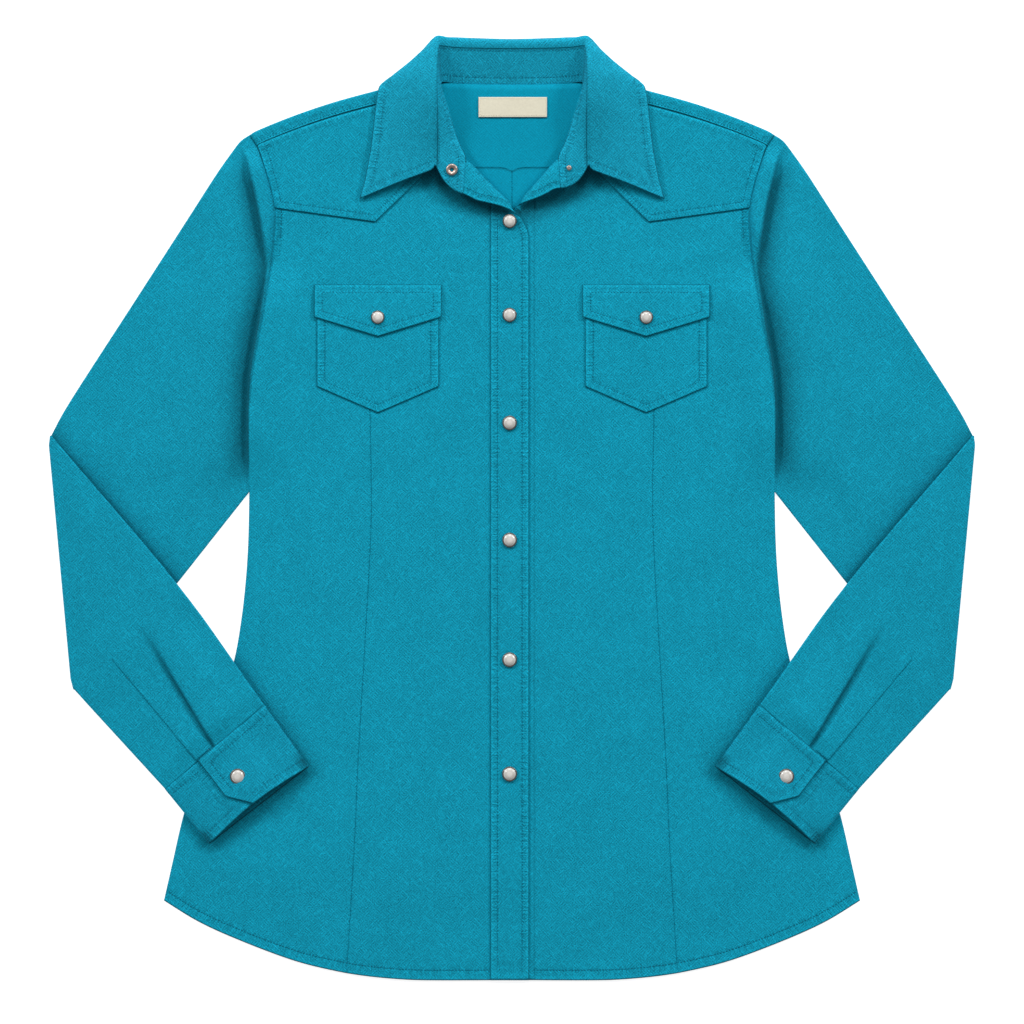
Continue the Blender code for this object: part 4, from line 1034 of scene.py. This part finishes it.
def pointed_rows(half, tops, corner, point, long):
    """Level rows down from the top, then rows that bend into the point. Corner and point are heights."""
    across = [s - 1 for s in spaced(half, 3.6, PATCH_CELLS)]
    across += [-a for a in across[-2::-1]]
    rows = [[Vector((POCKET_X + a * half, y)) for a in across] for y in tops]
    for share in spaced(long, 3.6, (0,), PATCH_CELLS)[1:]:
        rows.append([
            Vector((POCKET_X + a * half, mix(tops[-1], mix(point, corner, abs(a)), share))) for a in across
        ])
    return rows


def sewn_patch(name, sewing, rows, stitched):
    """A patch with stitches along its edges: the edge, what they leave free at its ends, and their points."""
    edges = {"last": rows[-1], "start": edge_of(rows, 0), "end": edge_of(rows, -1), "first": rows[0]}
    seams = [(edges[edge], PATCH_STITCH) for edge, trim, count in stitched]
    cut_from(cloth("cloth_" + name, rows, BODY_TWILL, seams=seams), rows)
    thread(sewing, [beside(rows, edge, PATCH_STITCH, trim, count) for edge, trim, count in stitched], THREAD)


TRIMMED, FROM_TOP = (PATCH_STITCH, PATCH_STITCH), (0, PATCH_STITCH)
POCKET_SEWING = (("last", TRIMMED, 160), ("start", FROM_TOP, 90), ("end", FROM_TOP, 90))
FLAP_SEWING = (
    ("last", TRIMMED, 160), ("start", TRIMMED, 60), ("end", TRIMMED, 60), ("first", TRIMMED, 120),
)
pocket_tops = [mix(POCKET_TOP, 128, s) for s in spaced(43.6, 4, (0, 1, 2.4))]
flap_tops = [FLAP_TOP - d for d in (0, 0.8, 2.2, 3.4, 4.4, 5.4, 6.4, 7.2)]
for side, hand in HANDS:
    rows = laid(pointed_rows(POCKET_HALF, pocket_tops, POCKET_CORNER, POCKET_POINT, 46), pocket_z, side)
    sewn_patch("pocket_" + hand, "pocket_stitches_" + hand, rows, POCKET_SEWING)
    rows = laid(pointed_rows(FLAP_HALF, flap_tops, FLAP_CORNER, FLAP_POINT, 30), flap_z, side)
    sewn_patch("pocket_flap_" + hand, "flap_stitches_" + hand, rows, FLAP_SEWING)

# ==================================================================== sleeves
# Each sleeve is one tube, pressed flat from the armhole to the elbow, folded over there, and laid
# back across the body. One pleat is taken up where the forearm goes into its cuff.
SLEEVE_TWILL = teal_twill("sleeve_twill", (0.0042, 0.262, 0.388))
OVERARM = (
    (210.4, 299.0), (216.8, 294.4), (223.2, 286.4), (234.4, 270.4), (250.0, 246.4), (301.6, 166.4),
    (353.2, 86.4), (369.0, 58.0),
)
UNDERARM = ((210.9, 15.2), (268.0, -59.0), (350.2, -144.6))
ELBOW_TOP, ELBOW_FOOT = Vector(OVERARM[-1]), Vector(UNDERARM[-1])
FOREARM_TOP = (tuple(ELBOW_TOP), (268.4, -60.2), (198.4, -157.6))
FOREARM_FOOT = (tuple(ELBOW_FOOT), (277.3, -224.1))
CUFF_SEAM = (FOREARM_TOP[-1], FOREARM_FOOT[-1])
CUFF_END = ((162.8, -206.8), (241.6, -268.0))
FOLD_RUN = (ELBOW_FOOT - ELBOW_TOP).normalized()
FOLD_OUT = Vector((-FOLD_RUN.y, FOLD_RUN.x))
PLEAT_HEAD, PLEAT_FOOT = Vector((299.8, -86.8)), Vector((238.4, -188.4))
PRESSED = 2.6  # height of a sleeve at its folds
ARMHOLE_WIDE, ELBOW_WIDE, WRIST_WIDE = 230, 203, 104
UPPER_CREASES = (
    # from x, y, to x, y, width, height
    (230.0, 190.0, 250.0, 120.0, 9.0, 0.5), (-236.0, 200.0, -244.0, 130.0, 10.0, 0.5),
    (300.0, 120.0, 318.0, 20.0, 10.0, 0.4), (-296.0, 110.0, -310.0, 30.0, 12.0, 0.45),
    (250.0, 60.0, 286.0, -20.0, 10.0, 0.5), (-254.0, 40.0, -290.0, -40.0, 10.0, 0.5),
    (340.0, 70.0, 316.0, 40.0, 7.0, 0.45), (-346.0, 66.0, -322.0, 30.0, 7.0, 0.45),
)
FOREARM_CREASES = (
    (330.0, 10.0, 318.0, -70.0, 9.0, 0.5), (-334.0, 0.0, -322.0, -66.0, 9.0, 0.5),
    (352.0, 20.0, 338.0, -60.0, 6.0, 0.35), (-350.0, 30.0, -340.0, -50.0, 7.0, 0.35),
    (268.0, -96.0, 232.0, -150.0, 6.0, 0.5), (-270.0, -92.0, -234.0, -148.0, 6.5, 0.5),
    (236.0, -148.0, 214.0, -160.0, 4.0, -0.4), (-238.0, -146.0, -216.0, -164.0, 4.0, -0.4),
    (310.0, -130.0, 276.0, -180.0, 7.0, 0.35), (-306.0, -134.0, -272.0, -184.0, 7.0, 0.35),
    (300.0, -40.0, 270.0, -80.0, 8.0, 0.4), (-304.0, -30.0, -276.0, -74.0, 8.0, 0.4),
)


def beyond(place, a, b):
    """Distance from the line through a and b, positive on its left."""
    run, away = (Vector(b) - Vector(a)).normalized(), place - Vector(a)
    return run.x * away.y - run.y * away.x


def before_fold(p):
    return -(p - ELBOW_TOP).dot(FOLD_OUT)


def from_overarm(p):
    return beyond(p, OVERARM[-1], OVERARM[4])


def from_underarm(p):
    return beyond(p, UNDERARM[0], UNDERARM[1])


def from_forearm_foot(p):
    return beyond(p, FOREARM_FOOT[1], FOREARM_FOOT[0])


def sleeve_air(x, y):
    p = on_left(x, y)
    return 1.5 * ease(from_overarm(p) / 75) * ease(from_underarm(p) / 75) * ease(before_fold(p) / 110)


ROLL_EDGE = (
    (15.0, 212.0), (105.2, 209.4), (142.2, 203.4), (167.0, 198.6), (190.8, 196.0), (210.8, 198.8),
    (234.8, 202.6), (253.2, 206.4), (278.8, 213.0), (300.0, 222.0),
)


def sleeve_head(x, y):
    """Beside the armhole the sleeve stands up in a soft roll, with a trough along its far side. Lower down
    it drops away under the edge of the front."""
    from_seam, away = abs(x) - side_at(y), abs(x) - height_at(ROLL_EDGE, y)
    roll = 5.2 * ease((292 - y) / 22) * ease((y - 178) / 50)
    roll *= 1 - ease((away + 2.0) / 3.0)
    roll *= ease((from_seam + 0.8) / 4.6)
    folded_under = armhole_roll(y) * (1 - ease(from_seam / 2.6))
    along = ease((296 - y) / 34) * ease((y - 12) / 30)
    bank = 3.0 * ease((away - 3) / 16) * (1 - ease((away - 26) / 50))
    return roll + folded_under + along * (bank - 1.1 * math.exp(-((away - 2.6) / 3.6) ** 2))


def support(x, y):
    """Top of what lies under a forearm, bridged by its own cloth over the steps."""
    p = on_left(x, y)
    under = max(-from_underarm(p), -beyond(p, UNDERARM[1], UNDERARM[2]))
    outside = abs(x) - side_at(y)
    inner_x = min(abs(x), side_at(y) - 1)
    body = fall_lift(inner_x, y) + front_air(inner_x, y) + 2.4
    return max((PRESSED + sleeve_air(x, y)) * ease(1 - (under - 3) / 44), body * ease(1 - (outside - 3) / 44))


def forearm_base(x, y):
    return support(x, y) + 0.3 + 2.6 * ease(before_fold(on_left(x, y)) / 30)


def beside_pleat(p):
    """How far down the pleat a place is, and how far above its line."""
    run = PLEAT_FOOT - PLEAT_HEAD
    return (p - PLEAT_HEAD).dot(run.normalized()) / run.length, -beyond(p, PLEAT_HEAD, PLEAT_FOOT)


def forearm_height(x, y):
    """Both layers, the air between them and the pleat, sharp at the cuff and fading upwards."""
    p = on_left(x, y)
    air = 1.1 * ease(-beyond(p, FOREARM_TOP[2], FOREARM_TOP[0]) / 50) * ease(from_forearm_foot(p) / 50)
    air *= ease(before_fold(p) / 60)
    along, off = beside_pleat(p)
    pleat = 2.9 * ease(along / 0.42) * ease(off / mix(12, 1.6, ease(along / 0.5)) + 0.5)
    pleat *= 1 - ease((off - 8) / 32)
    trough = 1.1 * ease(along / 0.3) * math.exp(-((off + 2.8) / mix(5.0, 2.8, along)) ** 2)
    to_cuff = beyond(p, CUFF_SEAM[0], CUFF_SEAM[1])
    puffed = 2.2 * ease(before_fold(p) / 16) + air + pleat
    return PRESSED + puffed * mix(0.34, 1, ease(to_cuff / 16)) - trough


def forearm_top(x, y):
    return forearm_base(x, y) + forearm_height(x, y)


def sleeve_round(width, crease):
    """Places round a flat sleeve: the share across, and 0 for its back cloth to 1 for its front cloth.
    Its cells are fine at the crease."""
    radius = (PRESSED - 1) / 2 / width
    arc = [(1 - math.cos(a), math.sin(a) / 2) for a in (0.0, 0.4, 0.8, 1.2)]
    flat = [crease * s for s in spaced(1, 0.036, (0, 0.016), (0, 0.013, 0.03, 0.06, 0.1))]
    flat += [mix(crease, 1, s) for s in spaced(1, 0.036, (0, 0.013, 0.03, 0.06, 0.1), (0, 0.016))[1:]]
    loop = [(radius * inset, 0.5 + rise) for inset, rise in arc]
    loop += [(mix(radius, 1 - radius, s), 1.0) for s in flat]
    loop += [(1 - radius * inset, 0.5 + rise) for inset, rise in reversed(arc)]
    loop += [(1 - radius * inset, 0.5 - rise) for inset, rise in arc[1:]]
    loop += [(mix(radius, 1 - radius, s), 0.0) for s in reversed(flat)]
    return loop + [(radius * inset, 0.5 - rise) for inset, rise in reversed(arc[1:])]


def sleeve_rings(side):
    armhole, fold = ARMHOLE_LINE.moved(-0.7, 0), Line((ELBOW_TOP, ELBOW_FOOT), smooth=False)
    overarm = Line((armhole.at(0), *(Vector(p) for p in OVERARM[1:])))
    underarm = Line((armhole.at(1), *(Vector(p) for p in UNDERARM[1:])), smooth=False)
    centre = PRESSED + 0.15

    def upper(p, layer):
        x = side * p.x
        rise = sleeve_air(x, p.y) + sleeve_head(x, p.y)
        edge, from_seam = min(from_overarm(p), from_underarm(p), before_fold(p)), p.x - side_at(p.y)
        soft = (1.4 * drapes(UPPER_CREASES, x, p.y) + 0.25 * drift(x, p.y, 30, 4)) * ease(edge / 22)
        soft *= ease(from_seam / 5)
        soft *= layer
        tucked = (0.25 - 0.95 * layer) * (1 - ease((from_seam + 1.0) / 1.6))
        return Vector((p.x, p.y, 0.5 + layer * (PRESSED - 1 + rise) + soft + tucked))

    def lower(p, layer):
        x = side * p.x
        edge = min(-beyond(p, FOREARM_TOP[2], FOREARM_TOP[1]), from_forearm_foot(p), before_fold(p))
        soft = (drapes(FOREARM_CREASES, x, p.y) + 0.25 * drift(x, p.y, 28, 9)) * ease(edge / 18) * (1 - layer)
        base, height = forearm_base(p.x, p.y), forearm_height(p.x, p.y)
        return Vector((p.x, p.y, base + 0.5 + (1 - layer) * (height - 1) + soft))

    def ring(top, bottom, start, end, v, width, place, crease):
        places = sleeve_round(width, crease)
        line = patch(top, bottom, start, end, [u for u, layer in places], (v,))[0]
        return [place(p, layer) for p, (u, layer) in zip(line, places)]

    def pleat_share(v):
        """Where the pleat's line crosses the forearm."""
        line = patch(fold, cuff_seam, upper_edge, lower_edge, [i / 80 for i in range(81)], (v,))[0]
        nearest = min(range(81), key=lambda i: abs(beyond(line[i], PLEAT_HEAD, PLEAT_FOOT)))
        return min(0.7, max(0.3, nearest / 80))

    upper_edge, lower_edge = Line(FOREARM_TOP), Line(FOREARM_FOOT, smooth=False)
    cuff_seam = Line(CUFF_SEAM, smooth=False)
    pleat_from, pleat_to = pleat_share(0.5), pleat_share(1.0)
    at_fold = 2 * pleat_from - pleat_to
    rings = []
    for v in spaced(250, 4.4, (0, 0.7, 1.4, *range(2, 21), 23), (2, 6)):
        rings.append(ring(armhole, fold, overarm, underarm, v, ARMHOLE_WIDE, upper, at_fold))
    for step in range(13):
        turn = math.pi * step / 12

        def around(u, layer):
            radius = centre - (0.5 + layer * (PRESSED - 1))
            full = mix(0.4, 1, ease(min(u, 1 - u) / 0.04))
            out = fold.at(u) + FOLD_OUT * radius * math.sin(turn) * full
            return Vector((out.x, out.y, centre - radius * math.cos(turn)))

        rings.append([around(u, layer) for u, layer in sleeve_round(ELBOW_WIDE, at_fold)])
    for v in spaced(190, 3.6, (2, 6), (0, 1.2, 2.6)):
        width, crease = mix(ELBOW_WIDE, WRIST_WIDE, v), mix(at_fold, pleat_to, v)
        rings.append(ring(fold, cuff_seam, upper_edge, lower_edge, v, width, lower, crease))
    return [[Vector((side * p.x, p.y, p.z)) for p in line] for line in rings]


def sleeve_painted_shade(x, y):
    """Painted shade in the trough along the armhole and on its seam, and painted shadow under the edge of the
    forearm.
    """
    p = on_left(x, y)
    away, from_seam = p.x - height_at(ROLL_EDGE, y), p.x - side_at(y)
    high = ease((y - 140) / 50)
    along = ease((286 - y) / 30) * ease((y - 8) / 36) * ease((from_seam + 0.2) / mix(0.6, 3.0, high))
    from_forearm = max(0.0, beyond(p, FOREARM_TOP[1], FOREARM_TOP[0]))
    trough = along * math.exp(-(max(0.0, away - 1.0) / mix(15.5, 11.0, high)) ** 2)
    trough *= mix(1.0, ease((away + 2.6) / 3.4), high)
    seam = 0.62 * ease((y - 60) / 60) * math.exp(-(from_seam / 0.8) ** 2)
    return max(trough, seam, 0.9 * math.exp(-from_forearm / 6.5))


def pleat_painted_shade(x, y):
    """Painted shade along the pleat, wide below its line and narrow above."""
    along, off = beside_pleat(on_left(x, y))
    reach = mix(4.2, 2.6, ease(along)) if off < -0.6 else 0.9
    return 0.9 * ease((along + 0.05) / 0.7) * math.exp(-((off + 0.6) / reach) ** 2)


for side, hand in HANDS:
    rings = sleeve_rings(side)
    upper = next(r for r, ring in enumerate(rings) if max(before_fold(on_left(p.x, p.y)) for p in ring) < 1)
    # painted shade and shadow on the upper sleeve, and painted shade along the pleat of the forearm
    piece = cloth(
        "cloth_sleeve_" + hand, rings, SLEEVE_TWILL, tube=True,
        painted_shade=lambda r, c: (sleeve_painted_shade if r < upper else pleat_painted_shade)(*rings[r][c % len(rings[r])].xy),
    )
    cut_from(piece, rings, tube=True)

# ==================================================================== sleeve plackets
# A narrow strip with a pointed head covers the slit above each cuff.
PLACKET_FOOT, PLACKET_HEAD = Vector((251.9, -202.0)), Vector((323.8, -115.5))
STRIP_WIDE, STRIP_LONG, STRIP_EDGE = 16.5, 105, (0, 0.8, 1.8, 2.8)
run = (PLACKET_HEAD - PLACKET_FOOT).normalized()
across = Vector((-run.y, run.x))
strip_cells = spaced(STRIP_WIDE, 2.4, STRIP_EDGE, STRIP_EDGE)
strip_rows = []
for share in spaced(STRIP_LONG, 3.2, (0, 1.5), (0, 0.8, 1.8, 3.4, 5.2, 7.35)):
    head = 6.0 * max(0.0, share - 0.93) / 0.07
    start = PLACKET_FOOT + run * (0.8 + share * STRIP_LONG)
    row = [start + across * STRIP_WIDE * u + run * head * (1 - abs(2 * u - 1)) for u in strip_cells]
    strip_rows.append(row)
for side, hand in HANDS:
    rows = laid(strip_rows, lambda x, y: forearm_top(x, y) + 0.36, side)
    for r, row in enumerate(rows):
        for p, u in zip(row, strip_cells):
            p.z -= 0.7 * ease((u - 0.1) / 0.8) + 0.45 * ease((r / len(rows) - 0.55) / 0.4)
    piece = cloth("cloth_sleeve_placket_" + hand, rows, SLEEVE_TWILL, 0.5)
    cut_from(piece, rows)

# ==================================================================== cuffs
# A stiffened band round each wrist, closed by a snap through its pointed overlap. Its mouth stands
# open a little.
CUFF_TWILL = teal_twill("cuff_twill", (0.0042, 0.250, 0.374))
CUFF_LAYER, CUFF_WIDE, CUFF_STITCH = 2.0, 60.7, 7.4
CUFF_LEVEL = 0.6  # middle of its lowest layer, over what the forearm lies on


def cuff_point(a, b):
    """A place on the flat cuff: a runs down its seam, b from the seam to the mouth."""
    seam, mouth = ([Vector(end) for end in line] for line in (CUFF_SEAM, CUFF_END))
    return seam[0].lerp(seam[1], a).lerp(mouth[0].lerp(mouth[1], a), b)


def cuff_round(b):
    """The band's way round, from the end of its underlap, round the back, to the pointed overlap: the
    share down the cuff, the rise, and how far the back of the mouth stands open there."""
    overlap = mix(0.665, 0.52, max(0.0, (b - 0.66) / 0.34))
    mouth = 4.2 * ease((b - 0.2) / 0.8)
    edge = 0.011
    places = [(mix(0.40, 1 - edge, t), 1.0, 1) for t in spaced(60, 3.2, (0, 0.8, 2.2, 4.4))]
    places += [(1 - edge * 0.3, 0.85, 1), (1.0, 0.5, 0.5), (1 - edge * 0.3, 0.15, 0)]
    places += [(mix(1 - edge, edge, t), 0.0, 0) for t in spaced(100, 4)]
    places += [(edge * 0.3, 0.15, 0), (0.0, 0.5, 0.5), (edge * 0.3, 0.85, 1)]
    for t in spaced(65, 2.8, (0,), EDGE_CELLS):
        a = mix(edge, overlap, t)
        places.append((a, 1.0 + ease((a - 0.2) / 0.15), 1))
    opened = [(a, layer, share * math.sin(math.pi * a)) for a, layer, share in places]
    return [(a, layer * CUFF_LAYER + mouth * back, back) for a, layer, back in opened]


def cuff_mouth_painted_shade(r, c):
    """Painted shade on the inside of the back of the cuff, near its mouth."""
    share = cuff_round(1.0)[c][2]
    return ease((cuff_cells[r] - 0.7) / 0.2) * (1 - ease(share / 0.3))


cuff_cells = spaced(CUFF_WIDE, 3, EDGE_CELLS, EDGE_CELLS)
for side, hand in HANDS:
    rows = []
    for b in cuff_cells:
        row = []
        for a, rise, back in cuff_round(b):
            p = cuff_point(a, mix(-0.012, 1.0 - 0.07 * back, b))
            row.append(Vector((side * p.x, p.y, forearm_base(p.x, p.y) + CUFF_LEVEL + rise)))
        rows.append(row)
    seams = [(edge, CUFF_STITCH) for edge in (rows[0], rows[-1], edge_of(rows, -1))]
    # painted shade inside the cuff's mouth
    piece = cloth("cloth_cuff_" + hand, rows, CUFF_TWILL, 1.0, seams=seams, painted_shade=cuff_mouth_painted_shade)
    cut_from(piece, rows)
    sewn = [beside(rows, edge, CUFF_STITCH, (2, CUFF_STITCH), 240) for edge in ("first", "last")]
    sewn.append(beside(rows, "end", CUFF_STITCH, (CUFF_STITCH, CUFF_STITCH), 70))
    thread("cuff_stitches_" + hand, sewn, THREAD, lift=0.52)

# ==================================================================== snaps
# Pearl caps in thin metal rims, pressed through the cloth: six down the front, one on each pocket
# flap and one on each cuff.
def pearl():
    finish, tree, shader = material("pearl")
    swirl = mottled(tree, wire(tree, "ShaderNodeTexCoord", {})["Object"], 160.0, 3.0, Distortion=1.2)
    out = written(tree, "from_middle")
    # darker in a ring from about a third to seven tenths of the way out, lighter in the middle and at the
    # edge
    rises, fades = spread(tree, out, 0.25, 0.45, 0.0, 1.0), spread(tree, out, 0.60, 0.75, 1.0, 0.0)
    darker_ring = sums(tree, "MULTIPLY", rises, fades)
    swirl = sums(tree, "MULTIPLY_ADD", darker_ring, -0.45, swirl)
    feed(tree, shader, {
        "Base Color": blend(tree, swirl, (0.56, 0.53, 0.49), (0.80, 0.79, 0.76)),
        "Roughness": 0.35, "Coat Weight": 0.7, "Coat Roughness": 0.2,
    })
    return finish


def plated(name, colour, roughness):
    finish, tree, shader = material(name)
    feed(tree, shader, {"Base Color": (*colour, 1), "Metallic": 1.0, "Roughness": roughness})
    return finish


ROUND_SIDES = 40


def spun(name, profile, centre, finishes, turn_at=None, ring=False):
    """A round piece from (radius, height) points. Faces farther out than turn_at take the second finish."""
    bm = bmesh.new()
    from_middle = bm.verts.layers.float.new("from_middle")
    verts = [bm.verts.new((r * MM, 0, z * MM)) for r, z in profile]
    edges = [bm.edges.new(pair) for pair in zip(verts, verts[1:] + verts[:1] * ring)]
    turn = {"cent": (0, 0, 0), "axis": (0, 0, 1), "angle": math.tau, "steps": ROUND_SIDES}
    bmesh.ops.spin(bm, geom=verts + edges, use_merge=True, **turn)
    bmesh.ops.remove_doubles(bm, verts=bm.verts, dist=1e-6)
    bmesh.ops.recalc_face_normals(bm, faces=bm.faces)
    for face in bm.faces:
        if turn_at and math.hypot(*face.calc_center_median().xy) > turn_at * MM:
            face.material_index = 1
    widest = profile[0][0] + max(r for r, z in profile)
    for vertex in bm.verts:
        vertex[from_middle] = math.hypot(*vertex.co.xy) / widest / MM
    bmesh.ops.translate(bm, verts=bm.verts, vec=Vector(centre) * MM)
    return object_from(bm, name, *finishes)


PEARL, RIM = pearl(), plated("rim_metal", (0.20, 0.18, 0.165), 0.4)
PEARL_SHARE = 0.80  # of a snap's radius, inside its rim


def snap(node, x, y, ground, diameter):
    r = diameter / 2
    profile = (
        (0, 0), (r * 0.86, 0), (r * 0.97, 0.2), (r, 0.6), (r * 0.985, 1.0), (r * 0.94, 1.3), (r * 0.87, 1.42),
        (r * 0.82, 1.25), (r * PEARL_SHARE, 1.25), (r * 0.74, 1.75), (r * 0.6, 2.3), (r * 0.4, 2.68),
        (r * 0.2, 2.86), (0, 2.92),
    )
    piece = spun("pearl_" + node, profile, (x, y, ground), (PEARL, RIM), turn_at=r * PEARL_SHARE)
    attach(piece, "root")
    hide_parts(node)


# height on the placket, and diameter
PLACKET_SNAPS = ((230.0, 11.2), (154.9, 11.4), (68.5, 11.7), (-25.2, 11.8), (-121.0, 11.9), (-212.4, 12.0))
SNAP_X, POCKET_SNAP_Y = -1.9, 153.0
for number, (y, diameter) in enumerate(PLACKET_SNAPS, 1):
    turned = 0.6 if number == 1 else 0  # the placket starts to roll open at the first snap
    snap(f"placket_snap_{number}", SNAP_X, y, front_z(SNAP_X, y) + 2.1 + turned, diameter)
wrist = cuff_point(0.492, 0.508)
wrist_level = forearm_base(wrist.x, wrist.y) + 2 * CUFF_LAYER + 2.1
for side, hand in HANDS:
    x = side * POCKET_X
    snap(f"pocket_snap_{hand}", x, POCKET_SNAP_Y, flap_z(x, POCKET_SNAP_Y) + 0.6, 10.8)
    snap(f"cuff_snap_{hand}", side * wrist.x, wrist.y, wrist_level, 12.4)

# ==================================================================== neck socket and stud
# The open snap of the neckband: a plated socket ring on its right end, a stud on its left end.
PLATED = plated("snap_metal", (0.46, 0.37, 0.33), 0.42)
socket = ((1.5, 0), (4.4, 0), (4.7, 0.5), (4.4, 0.95), (3.7, 1.2), (2.9, 1.15), (2.2, 0.6), (1.5, 0.5))
stud = ((0, 0), (1.9, 0), (2.1, 0.4), (1.8, 0.75), (1.3, 0.95), (0.8, 1.0), (0.4, 0.9), (0, 0.8))
for node, profile, centre, ring in (
    ("neck_socket_right", socket, (-48.0, 270.6, 13.0), True),
    ("neck_stud_left", stud, (45.6, 272.0, 12.8), False),
):
    piece = spun("plated_" + node, profile, centre, (PLATED,), ring=ring)
    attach(piece, "root")
    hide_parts(node)

# ==================================================================== studio
# A pale floor and broad soft lights, seen from straight above.
floor_finish, tree, shader = material("studio_floor")
feed(tree, shader, {
    "Base Color": (0.55, 0.55, 0.55, 1), "Roughness": 0.9, "Specular IOR Level": 0.0,
    "Emission Color": (1, 1, 1, 1), "Emission Strength": 0.80,
})
bm = bmesh.new()
bmesh.ops.create_grid(bm, x_segments=1, y_segments=1, size=15)
object_from(bm, "studio_floor", floor_finish)

world = bpy.data.worlds.new("studio")
world.use_nodes = True
feed(world.node_tree, world.node_tree.nodes["Background"], {"Color": (1.0, 1.0, 1.0, 1), "Strength": 0.32})
bpy.context.scene.world = world


def lamp(name, kind, place, aim, **settings):
    light = bpy.data.lights.new(name, kind)
    for key, value in settings.items():
        setattr(light, key, value)
    obj = bpy.data.objects.new(name, light)
    obj.location = place
    obj.rotation_euler = (Vector(aim) - Vector(place)).to_track_quat("-Z", "Y").to_euler()
    bpy.context.scene.collection.objects.link(obj)


lamp("key_softbox", "AREA", (0, 2.4, 1.9), (0, 0, 0), energy=38, shape="RECTANGLE", size=1.2, size_y=0.8)
for side in (1, -1):
    lamp("side_window", "SUN", (side * 1.7, 1.3, 1.2), (0, 0, 0), energy=1.34, angle=math.radians(12))

camera = bpy.data.cameras.new("camera")
camera.lens = 150
camera.sensor_width = 36
camera.clip_end = 20
view = bpy.data.objects.new("camera", camera)
view.location = (0.0, -0.0028, 3.42)
bpy.context.scene.collection.objects.link(view)
bpy.context.scene.camera = view
bpy.context.scene.view_settings.view_transform = "Standard"
